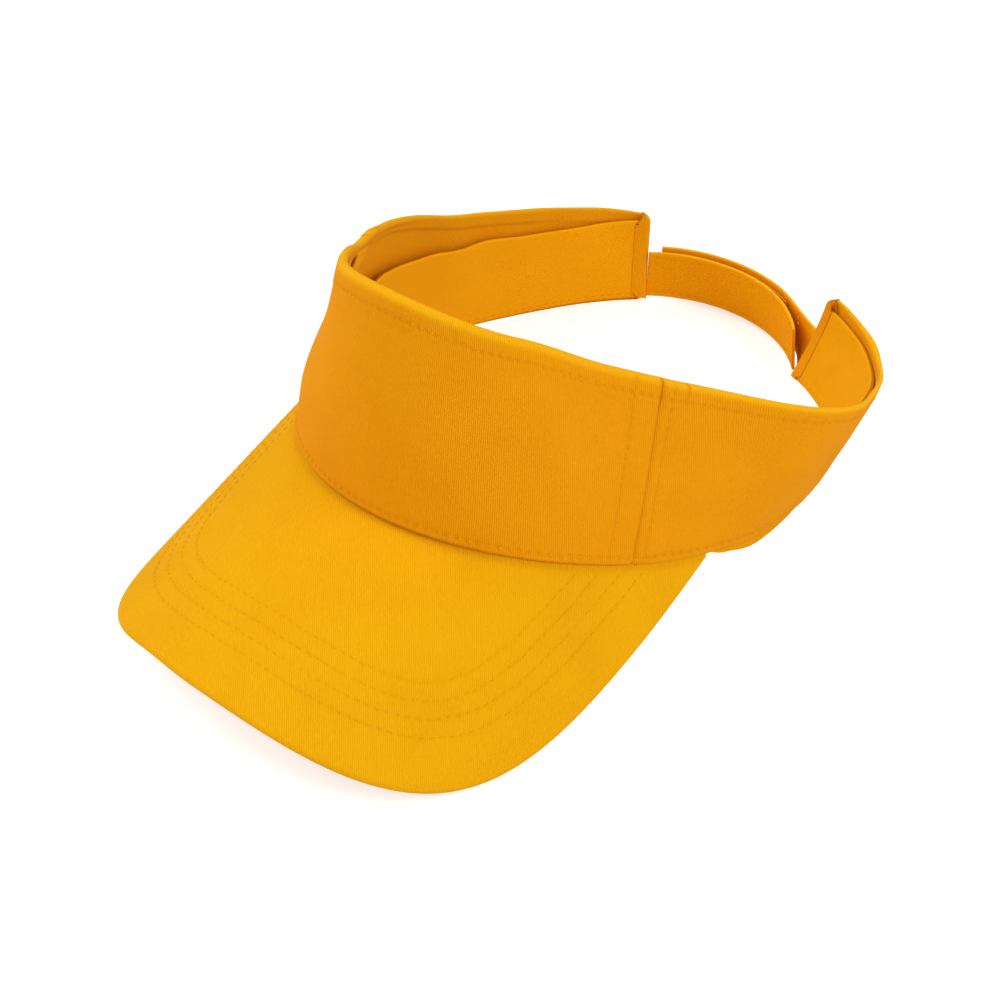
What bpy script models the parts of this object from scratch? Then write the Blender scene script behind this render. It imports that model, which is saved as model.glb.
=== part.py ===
"""A cotton twill sun visor with a curved brim and a hook-and-loop closure.

Lengths are in millimetres until the meshes are made. +X is the wearer's left, -Y is the front
and +Z is up. The visor stands as it does on a table: on the two low sides of its brim and on
the back ends of its band. Every sewn layer follows one wall surface at its own depth.
"""

import bpy
import numpy as np

MM = 0.001

# ---- driving dimensions (mm, degrees) ----------------------------------------------------
GAP = 0.3                      # clearance kept between pieces that touch

# Band: the lower edge, walked from the front centre to one back end.
HALF_LENGTH = 228.9            # front centre to back end, along the lower edge
FRONT_Y = -88.0                # the seam centre of the band
BEND_AT = (0.0, 0.2, 0.4, 0.6, 0.8, 1.0)          # shares of the half length
BEND_RIGHT = (239.8, 165.2, 105.2, 165.2, 80.0, 148.7)     # degrees per half length
BEND_LEFT = (239.8, 165.2, 105.2, 117.5, 197.2, 84.6)

# Band: heights of its lower and upper edge over the table.
HEIGHT_AT = (0.0, 0.2, 0.35, 0.5, 0.7, 0.85, 1.0)
LOWER_RIGHT = (39.5, 34.2, 26.6, 17.7, 1.5, 0.0, 0.0)
LOWER_LEFT = (39.5, 34.2, 26.6, 17.7, 14.7, 4.0, 0.0)
UPPER_RIGHT = (108.2, 96.7, 81.7, 70.5, 53.2, 44.1, 35.3)
UPPER_LEFT = (108.2, 96.7, 81.7, 70.5, 49.2, 38.5, 37.6)

# Band: how far the wall leans inwards per millimetre of height.
LEAN_AT = (0.0, 0.33, 0.67, 1.0)
LEAN_RIGHT = (0.174, 0.299, 0.213, 0.042)
LEAN_LEFT = (0.174, 0.299, -0.317, -0.113)
WALL_CROWN = 1.0               # outward bow of the wall at half height
LEFT_TWIST = 10.7              # the left end's upper corner trails its lower one by this
TWIST_FROM = 0.7               # share of the half length where that twist begins

# Side seams: share of the half length at the lower and at the upper edge.
SEAM_LOW = 0.335
SEAM_HIGH = 0.398

# Sewn layers, outside to inside.
SHELL = 1.0                    # twill, turned double at its edges
STIFFENER = 0.8
TAPE = 0.6                     # seam tapes, hook tape and loop tape
SWEATBAND = 1.4
STRAP = 1.0
STIFFENER_MARGIN = 9.0         # from the stiffener's edge to the panel's
SEAM_TAPE_WIDTH = 12.0
BRIM_TAPE_HEIGHT = 8.0
SEAM_TAPE_MARGIN = 5.0         # from the seam tape's top to the band's upper edge
SWEATBAND_RIGHT = (32.0, 32.0, 32.5, 34.4, 39.0, 35.7, 34.2)      # its heights, at HEIGHT_AT
SWEATBAND_LEFT = (32.0, 32.0, 32.0, 31.0, 29.0, 33.3, 35.4)
SWEATBAND_TOP_MARGIN = 1.6     # least distance under the band's upper edge
SWEATBAND_SPLIT = 0.36         # where its front length meets its side lengths
FLARE_RIGHT = 2.0              # its free edge stands this far off the shell, at most
FLARE_LEFT = 1.0
FLARE_FRONT = 1.5
FLARE_FULL = (0.2, 0.55)       # shares between which the flare grows to that
FLARE_FADES = (0.5, 0.8)       # shares between which it fades again
BINDING_WIDTH = 3.0            # the turned and stitched ends of the band
BINDING_DEPTH = 4.2

# Brim: part of a cylinder, pitched down to the front.
BRIM_PITCH = 16.3
BRIM_CURL = 58.0               # its half arc, from the middle to a side edge
BRIM_REACH = 65.5              # from the seam centre to its tip
BRIM_TAIL = 1.4                # its sides run on this far behind the brim's end on the band
BRIM_END_SPAN = 0.972          # share of its half width that the band has reached there
BRIM_SIDE_POWER = 2.68         # superellipse powers of the outline
BRIM_TIP_POWER = 4.28
BRIM_END = 0.436               # share of the half length where the brim ends
FOOT_GAP = 0.3                 # from the brim to the layers that stand over it
FOOT_EASE = 0.09               # share over which the band's foot then leaves the brim
BRIM_ALLOWANCE = 4.0           # the brim reaches this far in under the band
BRIM_COVER = 0.7
BRIM_BOARD = 1.4
BRIM_UNDER = 0.5
BRIM_LIP = 1.2                 # width of the turned edge of the top cover
BRIM_EDGE_ROUND = 0.5

# Closure.
STRAP_WIDTH = 19.5
STRAP_FOOT = 0.6               # its lower edge over the table
STRAP_SLOPE = 0.12             # inward lean of the straps
STRAP_RUN = 0.8                # running gap between hook tape and loop tape
INNER_TIP_CLEARANCE = 4.0      # from the inner strap's tip to the left end
OUTER_TIP_CLEARANCE = 4.5      # from the outer strap's tip to the right end
OUTER_ROOT_GAP = 0.85          # from the left end to the outer strap's fold
OUTER_ROOT_DEPTH = 0.4         # the fold lies this deep behind the left end's outer face
OUTER_LEAD = 11.0              # from the fold to where the strap follows the arc
LEAN_LEAD = 0.5                # share of that lead in which the strap takes up its lean
HINGE_INSET = 0.3              # the fold line lies this far inside the strap's end
TAPE_MARGIN = 2.0              # from a tape's edge to its strap's edge
TAPE_END_MARGIN = 5.0

# Size adjustment: each back half of the band swings about an upright line.
WING_OFFSET_X = 60.0           # from the centre of the strap arc
WING_OFFSET_Y = 5.0

# ---- facets ------------------------------------------------------------------------------
PATH_STEPS = 460
FRONT_COLUMNS = 44
SIDE_COLUMNS = 22
WALL_ROWS = 5
BAND_ROWS = 3
BRIM_COLUMNS = 44
BRIM_ROWS = 9
STRAP_COLUMNS = 22
LEAD_COLUMNS = 6

RIGHT, LEFT = -1, 1
SHARE = 1.0 / HALF_LENGTH      # share of the half length per millimetre
BRIM_TOTAL = BRIM_COVER + BRIM_BOARD + BRIM_UNDER + 2 * GAP
SWEATBAND_DEPTH_FRONT = SHELL + STIFFENER + 2 * GAP
SWEATBAND_DEPTH_SIDE = SHELL + 2 * GAP


# ---- curves ------------------------------------------------------------------------------
def through(knots, values, x):
    """A smooth curve through the knots, level at the first, that never overshoots them."""
    knots, values, x = (np.asarray(a, float) for a in (knots, values, x))
    step = np.diff(knots)
    slope = np.diff(values) / step
    before, after = slope[:-1], slope[1:]
    weight_a, weight_b = 2 * step[1:] + step[:-1], step[1:] + 2 * step[:-1]
    same_way = before * after > 0
    safe_before = np.where(same_way, before, 1.0)
    safe_after = np.where(same_way, after, 1.0)
    mean = (weight_a + weight_b) / (weight_a / safe_before + weight_b / safe_after)
    inner = np.where(same_way, mean, 0.0)
    tangent = np.concatenate([[0.0], inner, [slope[-1]]])
    i = np.clip(np.searchsorted(knots, x, side="right") - 1, 0, len(step) - 1)
    t = (x - knots[i]) / step[i]
    return (values[i] * (2 * t**3 - 3 * t**2 + 1) + values[i + 1] * (3 * t**2 - 2 * t**3)
            + step[i] * tangent[i] * (t**3 - 2 * t**2 + t)
            + step[i] * tangent[i + 1] * (t**3 - t**2))


def ease(x):
    """0 up to 0, 1 from 1, smooth between."""
    x = np.clip(x, 0.0, 1.0)
    return x * x * (3 - 2 * x)


def ramp(x, span):
    """The same between the two ends of a span."""
    return ease((x - span[0]) / (span[1] - span[0]))


def walk(bends):
    """The lower edge of one half band: places and headings, by adding up its bend."""
    share = np.linspace(0, 1, PATH_STEPS + 1)
    bend = np.radians(through(BEND_AT, bends, share)) / PATH_STEPS
    step = HALF_LENGTH / PATH_STEPS
    heading = np.concatenate([[0], np.cumsum((bend[1:] + bend[:-1]) / 2)])
    x_step, y_step = np.cos(heading) * step, np.sin(heading) * step
    x = np.concatenate([[0], np.cumsum((x_step[1:] + x_step[:-1]) / 2)])
    y = FRONT_Y + np.concatenate([[0], np.cumsum((y_step[1:] + y_step[:-1]) / 2)])
    return share, x, y, heading


PATHS = {RIGHT: walk(BEND_RIGHT), LEFT: walk(BEND_LEFT)}
LOWER = {RIGHT: LOWER_RIGHT, LEFT: LOWER_LEFT}
UPPER = {RIGHT: UPPER_RIGHT, LEFT: UPPER_LEFT}
LEAN = {RIGHT: LEAN_RIGHT, LEFT: LEAN_LEFT}
TWIST = {RIGHT: 0.0, LEFT: LEFT_TWIST}


# ---- the brim's cylinder -----------------------------------------------------------------
PITCH = np.radians(BRIM_PITCH)
FORWARD = np.array([0.0, -np.cos(PITCH), -np.sin(PITCH)])
BRIM_UP = np.array([0.0, -np.sin(PITCH), np.cos(PITCH)])
CURL = np.radians(BRIM_CURL)


def band_at_brim_end():
    """Half the band's width where the brim ends, and how far behind the seam that is."""
    ends = [[np.interp(BRIM_END, path[0], path[i]) for i in (1, 2)] for path in PATHS.values()]
    x, y = np.mean(ends, axis=0)
    return x, y - FRONT_Y


END_HALF_WIDTH, END_BEHIND = band_at_brim_end()
BRIM_HALF_WIDTH = END_HALF_WIDTH * CURL / np.sin(CURL * BRIM_END_SPAN)
BRIM_RADIUS = BRIM_HALF_WIDTH / CURL


def brim_point(s, v, depth, seam_height):
    """A point on the brim: s along its arc, v forward of the seam, depth under its top."""
    angle = s / BRIM_RADIUS
    radius = BRIM_RADIUS - depth
    x = radius * np.sin(angle)
    drop = BRIM_RADIUS - radius * np.cos(angle)
    base = np.array([0.0, FRONT_Y, seam_height])
    return (base + np.multiply.outer(v, FORWARD) - np.multiply.outer(drop, BRIM_UP)
            + np.multiply.outer(x, np.array([1.0, 0.0, 0.0])))


def brim_flat(x, y):
    """Where a place in plan lies on the brim's flattened top: s and v."""
    s = BRIM_RADIUS * np.arcsin(np.clip(x / BRIM_RADIUS, -0.99, 0.99))
    drop = BRIM_RADIUS * (1 - np.cos(s / BRIM_RADIUS))
    return s, (-(y - FRONT_Y) + drop * np.sin(PITCH)) / np.cos(PITCH)


BRIM_WIDEST = BRIM_TAIL - brim_flat(END_HALF_WIDTH, FRONT_Y + END_BEHIND)[1]


def brim_outline(inset):
    """The brim's outer edge in the flat, moved in by inset, at even steps along it."""
    k = np.linspace(0, np.pi / 2, 1200)
    s = (BRIM_HALF_WIDTH - inset) * np.sin(k) ** (2 / BRIM_SIDE_POWER)
    length = BRIM_REACH + BRIM_WIDEST - inset
    v = length * np.cos(k) ** (2 / BRIM_TIP_POWER) - BRIM_WIDEST
    walked = np.concatenate([[0], np.cumsum(np.hypot(np.diff(s), np.diff(v)))])
    even = np.linspace(0, walked[-1], BRIM_COLUMNS // 2 + 1)
    s, v = np.interp(even, walked, s), np.interp(even, walked, v)
    return (np.concatenate([-s[:0:-1], s]), np.concatenate([v[:0:-1], v]))


def lowest_of_brim():
    """The height of the turned edge's lowest point when the seam centre is at height 0."""
    edge = brim_point(*brim_outline(0.0), BRIM_TOTAL - BRIM_EDGE_ROUND, 0.0)
    lip = brim_point(*brim_outline(BRIM_LIP), BRIM_TOTAL, 0.0)
    return min(edge[:, 2].min(), lip[:, 2].min())


SEAM_HEIGHT = -lowest_of_brim()


def foot_height(x, y):
    """Where a layer's foot stands: FOOT_GAP off the brim's top, square to it."""
    s, v = brim_flat(x, y)
    steepness = 1 / (np.cos(s / BRIM_RADIUS) * np.cos(PITCH))
    return brim_point(s, v, 0.0, SEAM_HEIGHT)[..., 2] + FOOT_GAP * steepness


# ---- the wall ----------------------------------------------------------------------------
def side_wall(side, share, rise, depth):
    """A point of one half's wall: share along it, rise from 0 to 1, depth behind its face."""
    at, path_x, path_y, path_heading = PATHS[side]
    share = np.clip(share, 0, 1)
    x, y = np.interp(share, at, path_x), np.interp(share, at, path_y)
    heading = np.interp(share, at, path_heading)
    along = np.stack([np.cos(heading), np.sin(heading)], -1)
    out = np.stack([np.sin(heading), -np.cos(heading)], -1)
    free = ease((share - BRIM_END) / FOOT_EASE)
    low = foot_height(x, y)
    low = low + (through(HEIGHT_AT, LOWER[side], share) - low) * free
    high = through(HEIGHT_AT, UPPER[side], share)
    lean = through(LEAN_AT, LEAN[side], share) * (high - low)
    trail = TWIST[side] * np.clip((share - TWIST_FROM) / (1 - TWIST_FROM), 0, 1) ** 2
    offset = -lean * rise + WALL_CROWN * 4 * rise * (1 - rise) - depth
    plan = (np.stack([x, y], -1) + out * offset[..., None] - along * (trail * rise)[..., None])
    z = low + (high - low) * rise
    # The foot of every layer that stands over the brim follows the brim's own surface.
    over = foot_height(plan[..., 0], plan[..., 1])
    lift = np.maximum(over - z, 0) * (1 - ease((share - BRIM_END) / FOOT_EASE))
    z = z + lift * (1 - np.clip(rise / 0.2, 0, 1))
    return np.stack([plan[..., 0] * side, plan[..., 1], z], -1)


def wall(place, rise, depth):
    """The whole wall: place is the share along a half, negative on the wearer's right."""
    place, rise, depth = np.broadcast_arrays(*(np.asarray(a, float)
                                               for a in (place, rise, depth)))
    left = side_wall(LEFT, np.abs(place), rise, depth)
    right = side_wall(RIGHT, np.abs(place), rise, depth)
    return np.where((place >= 0)[..., None], left, right)


def wall_height(place):
    """The distance from the wall's lower to its upper edge."""
    low, high = wall(place, 0.0, 0.0), wall(place, 1.0, 0.0)
    return np.linalg.norm(high - low, axis=-1)


def seam_place(rise):
    """The side seam slants back as it rises."""
    return SEAM_LOW + (SEAM_HIGH - SEAM_LOW) * rise


# ---- solids ------------------------------------------------------------------------------
def solid_between(front, back):
    """One closed body between two grids of points (rows, columns, 3): faces and their rim."""
    rows, columns = front.shape[:2]
    points = np.concatenate([front.reshape(-1, 3), back.reshape(-1, 3)])
    index = np.arange(rows * columns).reshape(rows, columns)
    behind = index + rows * columns
    faces = []
    for r in range(rows - 1):
        for c in range(columns - 1):
            faces.append((index[r, c], index[r, c + 1], index[r + 1, c + 1], index[r + 1, c]))
            faces.append((behind[r, c], behind[r + 1, c], behind[r + 1, c + 1],
                          behind[r, c + 1]))
    rim = np.concatenate([index[0, :-1], index[:-1, -1], index[-1, :0:-1], index[:0:-1, 0]])
    rim_behind = rim + rows * columns
    for i in range(len(rim)):
        j = (i + 1) % len(rim)
        faces.append((rim[j], rim[i], rim_behind[i], rim_behind[j]))
    return points, [tuple(int(i) for i in face) for face in faces]


def wall_piece(start, end, low, high, face, thickness, columns, rows):
    """A sewn layer: its edges and depth are values, or functions of rise or of place."""
    across = np.linspace(0, 1, columns + 1)[None, :]
    up = np.linspace(0, 1, rows + 1)[:, None]
    as_function = lambda value: value if callable(value) else (lambda _: value + 0.0 * _)
    start, end, low, high = map(as_function, (start, end, low, high))
    rise = up + 0 * across
    for _ in range(3):         # slanted ends and mixed heights settle in a few turns
        place = start(rise) + (end(rise) - start(rise)) * across
        rise = low(place) + (high(place) - low(place)) * up
    depth = face(place, up + 0 * across) if callable(face) else face + 0 * place
    return solid_between(wall(place, rise, depth), wall(place, rise, depth + thickness))


def rise_of(millimetres):
    """Turns a height along the wall into a rise."""
    return lambda place: millimetres / wall_height(place)


# ---- the band's pieces -------------------------------------------------------------------
HALF_SEAM_GAP = GAP / 2 * SHARE
SHELL_END = 1 - (BINDING_WIDTH + GAP) * SHARE


def front_panel():
    return wall_piece(lambda r: -seam_place(r) + HALF_SEAM_GAP,
                      lambda r: seam_place(r) - HALF_SEAM_GAP,
                      0.0, 1.0, 0.0, SHELL, FRONT_COLUMNS, WALL_ROWS)


def side_panel(side):
    near, far = lambda r: side * (seam_place(r) + HALF_SEAM_GAP), side * SHELL_END
    start, end = (near, far) if side == LEFT else (far, near)
    return wall_piece(start, end, 0.0, 1.0, 0.0, SHELL, SIDE_COLUMNS, WALL_ROWS)


def front_stiffener():
    margin = STIFFENER_MARGIN * SHARE
    return wall_piece(lambda r: -seam_place(r) + margin, lambda r: seam_place(r) - margin,
                      rise_of(STIFFENER_MARGIN),
                      lambda p: 1 - STIFFENER_MARGIN / wall_height(p),
                      SHELL + GAP, STIFFENER, FRONT_COLUMNS, WALL_ROWS)


def side_seam_tape(side):
    half = SEAM_TAPE_WIDTH / 2 * SHARE
    edges = [lambda r: side * seam_place(r) - half, lambda r: side * seam_place(r) + half]
    return wall_piece(*edges, rise_of(BRIM_TAPE_HEIGHT + 2),
                      lambda p: 1 - SEAM_TAPE_MARGIN / wall_height(p),
                      SHELL + GAP, TAPE, 2, WALL_ROWS)


def brim_seam_tape():
    return wall_piece(-BRIM_END, BRIM_END, 0.0, rise_of(BRIM_TAPE_HEIGHT),
                      SHELL + GAP, TAPE, FRONT_COLUMNS, 1)


def sweatband_top(place):
    height, share = wall_height(place), np.abs(place)
    own = np.where(place < 0, through(HEIGHT_AT, SWEATBAND_RIGHT, share),
                   through(HEIGHT_AT, SWEATBAND_LEFT, share))
    return np.minimum(own, height - SWEATBAND_TOP_MARGIN) / height


def sweatband_depth(place, up):
    """Behind the stiffener in front, close to the shell behind it, free edge standing off."""
    share = np.abs(place)
    base = (SWEATBAND_DEPTH_FRONT
            + (SWEATBAND_DEPTH_SIDE - SWEATBAND_DEPTH_FRONT) * ease((share - BRIM_END) / 0.1))
    most = np.where(place < 0, FLARE_RIGHT, FLARE_LEFT)
    flare = FLARE_FRONT + (most - FLARE_FRONT) * ramp(share, FLARE_FULL)
    return base + flare * (1 - ramp(share, FLARE_FADES)) * up


def sweatband(start, end, columns):
    return wall_piece(start, end, 0.0, sweatband_top, sweatband_depth, SWEATBAND,
                      columns, BAND_ROWS)


def sweatband_front():
    edge = SWEATBAND_SPLIT - HALF_SEAM_GAP
    return sweatband(-edge, edge, FRONT_COLUMNS)


def sweatband_side(side):
    near, far = side * (SWEATBAND_SPLIT + HALF_SEAM_GAP), side * SHELL_END
    return sweatband(min(near, far), max(near, far), SIDE_COLUMNS)


def end_binding(side):
    near, far = side * (1 - BINDING_WIDTH * SHARE), side * 1.0
    return wall_piece(min(near, far), max(near, far), 0.0, 1.0, 0.0, BINDING_DEPTH, 1, 3)


# ---- the brim's pieces -------------------------------------------------------------------
def brim_back_edge():
    """The brim's rear edge in the flat: the band's line, moved in by the allowance."""
    place = np.linspace(-BRIM_END, BRIM_END, BRIM_COLUMNS + 1)
    inside = wall(place, 0.0, BRIM_ALLOWANCE)
    return brim_flat(inside[:, 0], inside[:, 1])


def brim_layer(edges, tops, bottoms):
    """Rows of the brim from its rear edge out: tops and bottoms are depths per row."""
    top, bottom = [], []
    for (s, v), depth_top, depth_bottom in zip(edges, tops, bottoms):
        top.append(brim_point(s, v, depth_top, SEAM_HEIGHT))
        bottom.append(brim_point(s, v, depth_bottom, SEAM_HEIGHT))
    return solid_between(np.array(bottom), np.array(top))


def brim_rows(inset, rows):
    (s0, v0), (s1, v1) = brim_back_edge(), brim_outline(inset)
    shares = np.linspace(0, 1, rows + 1)
    return [(s0 + (s1 - s0) * t, v0 + (v1 - v0) * t) for t in shares]


def brim_top_cover():
    plate = brim_rows(BRIM_LIP + 0.1, BRIM_ROWS)
    edges = plate + [brim_outline(BRIM_LIP), brim_outline(0.0)]
    tops = [0.0] * (len(plate) + 1) + [BRIM_EDGE_ROUND]
    bottoms = [BRIM_COVER] * len(plate) + [BRIM_TOTAL, BRIM_TOTAL - BRIM_EDGE_ROUND]
    return brim_layer(edges, tops, bottoms)


def brim_inner_layer(depth, thickness):
    edges = brim_rows(BRIM_LIP + GAP + 0.1, BRIM_ROWS)
    return brim_layer(edges, [depth] * len(edges), [depth + thickness] * len(edges))


def brim_board():
    return brim_inner_layer(BRIM_COVER + GAP, BRIM_BOARD)


def brim_under_cover():
    return brim_inner_layer(BRIM_TOTAL - BRIM_UNDER, BRIM_UNDER)


# ---- the closure -------------------------------------------------------------------------
def plan_of_end(side, beyond, depth):
    """A place in plan just past one end of the band, and the outward direction there."""
    x, y, _ = wall(side * 1.0, 0.0, 0.0)
    heading = PATHS[side][3][-1]
    along = np.array([side * np.cos(heading), np.sin(heading)])
    out = np.array([side * np.sin(heading), -np.cos(heading)])
    return np.array([x, y]) + along * beyond - out * depth, out


END_MIDDLE = BINDING_DEPTH / 2


def strap_arc():
    """The circle that leaves the right end along the band and meets the left end."""
    start, out = plan_of_end(RIGHT, GAP, END_MIDDLE)
    end, _ = plan_of_end(LEFT, GAP, END_MIDDLE)
    chord = end - start
    radius = -chord.dot(chord) / (2 * chord.dot(out))
    centre = start - out * radius
    angle = lambda p: np.arctan2(p[1] - centre[1], p[0] - centre[0])
    return centre, radius, angle(start), angle(end)


ARC_CENTRE, INNER_RADIUS, ARC_RIGHT, ARC_LEFT = strap_arc()
OUTER_RADIUS = INNER_RADIUS + STRAP + 2 * (GAP + TAPE) + STRAP_RUN


def arc_points(radius, angles):
    return ARC_CENTRE + radius * np.stack([np.cos(angles), np.sin(angles)], -1)


def strap_solid(plan, inner, outer, low, high, slope=STRAP_SLOPE):
    """A strip along a line in plan, from inner to outer millimetres off it, leaning in."""
    slope = np.broadcast_to(slope, len(plan))
    step = np.gradient(plan, axis=0)
    step /= np.linalg.norm(step, axis=1)[:, None]
    away = np.stack([step[:, 1], -step[:, 0]], -1)
    away *= np.sign((away * (plan - ARC_CENTRE)).sum(-1).mean())
    middle = STRAP_FOOT + STRAP_WIDTH / 2
    grids = []
    for distance in (inner, outer):
        rows = []
        for z in (low, high):
            place = plan + away * (distance + slope * (middle - z))[:, None]
            rows.append(np.column_stack([place, np.full(len(place), z)]))
        grids.append(np.array(rows))
    return solid_between(grids[0], grids[1])


STRAP_LOW, STRAP_HIGH = STRAP_FOOT, STRAP_FOOT + STRAP_WIDTH


def inner_strap():
    tip = ARC_LEFT + INNER_TIP_CLEARANCE / INNER_RADIUS
    angles = np.linspace(ARC_RIGHT, tip, STRAP_COLUMNS + 1)
    return strap_solid(arc_points(INNER_RADIUS, angles), -STRAP / 2, STRAP / 2,
                       STRAP_LOW, STRAP_HIGH)


OUTER_ROOT, _ = plan_of_end(LEFT, OUTER_ROOT_GAP, OUTER_ROOT_DEPTH)
OUTER_JOINS = ARC_LEFT + OUTER_LEAD / OUTER_RADIUS
OUTER_TIP = ARC_RIGHT - OUTER_TIP_CLEARANCE / OUTER_RADIUS


def outer_line():
    """From the fold at the left end, eased onto the outer circle and along it, and the lean."""
    joins = arc_points(OUTER_RADIUS, OUTER_JOINS)
    onward = np.array([-np.sin(OUTER_JOINS), np.cos(OUTER_JOINS)]) * OUTER_LEAD * 0.6
    leaving = (joins - OUTER_ROOT) * 0.6
    t = np.linspace(0, 1, LEAD_COLUMNS + 1)[:-1, None]
    lead = (OUTER_ROOT * (2 * t**3 - 3 * t**2 + 1) + joins * (3 * t**2 - 2 * t**3)
            + leaving * (t**3 - 2 * t**2 + t) + onward * (t**3 - t**2))
    arc = arc_points(OUTER_RADIUS, np.linspace(OUTER_JOINS, OUTER_TIP, STRAP_COLUMNS + 1))
    slope = np.concatenate([STRAP_SLOPE * ease(t[:, 0] / LEAN_LEAD), np.full(len(arc), STRAP_SLOPE)])
    return np.concatenate([lead, arc]), slope


def outer_strap():
    """It stands upright at its fold, so that it clears the left end as it turns."""
    line, slope = outer_line()
    return strap_solid(line, -STRAP / 2, STRAP / 2, STRAP_LOW, STRAP_HIGH, slope)


def closure_tape(radius, inner, outer):
    angles = np.linspace(OUTER_JOINS + TAPE_END_MARGIN / radius,
                         OUTER_TIP - TAPE_END_MARGIN / radius, STRAP_COLUMNS + 1)
    return strap_solid(arc_points(radius, angles), inner, outer,
                       STRAP_LOW + TAPE_MARGIN, STRAP_HIGH - TAPE_MARGIN)


def loop_tape():
    start = STRAP / 2 + GAP
    return closure_tape(INNER_RADIUS, start, start + TAPE)


def hook_tape():
    start = STRAP / 2 + GAP
    return closure_tape(OUTER_RADIUS, -start - TAPE, -start)


# ---- joint places ------------------------------------------------------------------------
def fold_axis():
    line, _ = outer_line()
    toward = line[1] - line[0]
    return OUTER_ROOT + toward / np.linalg.norm(toward) * HINGE_INSET


def wing_axis(side):
    return ARC_CENTRE + np.array([side * WING_OFFSET_X, WING_OFFSET_Y])


# ---- objects -----------------------------------------------------------------------------
TWILL = ("twill", (0.90, 0.47, 0.010), 0.85)
TWILL_INSIDE = ("twill_inside", (0.93, 0.38, 0.008), 0.88)
BOARD = ("board", (0.86, 0.86, 0.82), 0.5)
BUCKRAM = ("buckram", (0.90, 0.40, 0.010), 0.9)
NYLON = ("nylon", (0.88, 0.40, 0.010), 0.75)


def surface(finish, name):
    kind, colour, roughness = finish
    material = bpy.data.materials.new(f"{name}_{kind}")
    material.use_nodes = True
    shader = material.node_tree.nodes["Principled BSDF"]
    shader.inputs["Base Color"].default_value = (*colour, 1.0)
    shader.inputs["Roughness"].default_value = roughness
    shader.inputs["Metallic"].default_value = 0.0
    return material


def volume(points, faces):
    total = 0.0
    for face in faces:
        a = points[face[0]]
        for b, c in zip(face[1:-1], face[2:]):
            total += a.dot(np.cross(points[b], points[c]))
    return total / 6


def add_object(name, points, faces, finish, origin, parent):
    """Makes one object, its faces turned outwards, its mesh measured from its parent."""
    if volume(points, faces) < 0:
        faces = [face[::-1] for face in faces]
    base = parent.location if parent else np.zeros(3)
    mesh = bpy.data.meshes.new(name)
    mesh.from_pydata((((points - origin) * MM) - np.array(base)).tolist(), [], faces)
    mesh.shade_smooth()
    mesh.set_sharp_from_angle(angle=np.radians(40))
    mesh.materials.append(surface(finish, name))
    item = bpy.data.objects.new(name, mesh)
    item.parent = parent
    bpy.context.collection.objects.link(item)


def add_empty(name, plan, origin):
    empty = bpy.data.objects.new(name, None)
    empty.location = (np.array([plan[0], plan[1], 0.0]) - origin) * MM
    bpy.context.collection.objects.link(empty)
    return empty


PIECES = {
    "front_panel": (front_panel, (), TWILL, None),
    "side_panel_left": (side_panel, (LEFT,), TWILL, None),
    "side_panel_right": (side_panel, (RIGHT,), TWILL, None),
    "front_stiffener": (front_stiffener, (), BUCKRAM, None),
    "side_seam_tape_left": (side_seam_tape, (LEFT,), TWILL_INSIDE, None),
    "side_seam_tape_right": (side_seam_tape, (RIGHT,), TWILL_INSIDE, None),
    "brim_seam_tape": (brim_seam_tape, (), TWILL_INSIDE, None),
    "sweatband_front": (sweatband_front, (), TWILL_INSIDE, None),
    "sweatband_left": (sweatband_side, (LEFT,), TWILL_INSIDE, None),
    "sweatband_right": (sweatband_side, (RIGHT,), TWILL_INSIDE, None),
    "brim_top_cover": (brim_top_cover, (), TWILL, None),
    "brim_board": (brim_board, (), BOARD, None),
    "brim_under_cover": (brim_under_cover, (), TWILL, None),
    "left_end_binding": (end_binding, (LEFT,), TWILL, "left_wing_axis"),
    "right_end_binding": (end_binding, (RIGHT,), TWILL, "right_wing_axis"),
    "inner_strap": (inner_strap, (), TWILL_INSIDE, "right_wing_axis"),
    "loop_tape": (loop_tape, (), NYLON, "right_wing_axis"),
    "outer_strap": (outer_strap, (), TWILL_INSIDE, "strap_fold_axis"),
    "hook_tape": (hook_tape, (), NYLON, "strap_fold_axis"),
}


def build():
    for item in list(bpy.data.objects):
        bpy.data.objects.remove(item, do_unlink=True)
    shapes = {name: make(*values) for name, (make, values, _, _) in PIECES.items()}
    low = np.min([points.min(axis=0) for points, _ in shapes.values()], axis=0)
    high = np.max([points.max(axis=0) for points, _ in shapes.values()], axis=0)
    origin = np.array([(low[0] + high[0]) / 2, (low[1] + high[1]) / 2, low[2]])
    axes = {
        "left_wing_axis": add_empty("left_wing_axis", wing_axis(LEFT), origin),
        "right_wing_axis": add_empty("right_wing_axis", wing_axis(RIGHT), origin),
        "strap_fold_axis": add_empty("strap_fold_axis", fold_axis(), origin),
    }
    for name, (points, faces) in shapes.items():
        _, _, finish, axis = PIECES[name]
        add_object(name, points, faces, finish, origin, axes.get(axis))
    print("box (mm)", (low - origin).round(2), (high - origin).round(2))
    print("origin from the band's own frame (mm)", origin.round(3))
    for name, empty in axes.items():
        print(name, "(mm)", (np.array(empty.location) / MM).round(3))
    print("strap arc centre (mm)", (ARC_CENTRE - origin[:2]).round(3),
          "radii", round(INNER_RADIUS, 2), round(OUTER_RADIUS, 2))


build()
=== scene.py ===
# %% [markdown]
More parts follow.
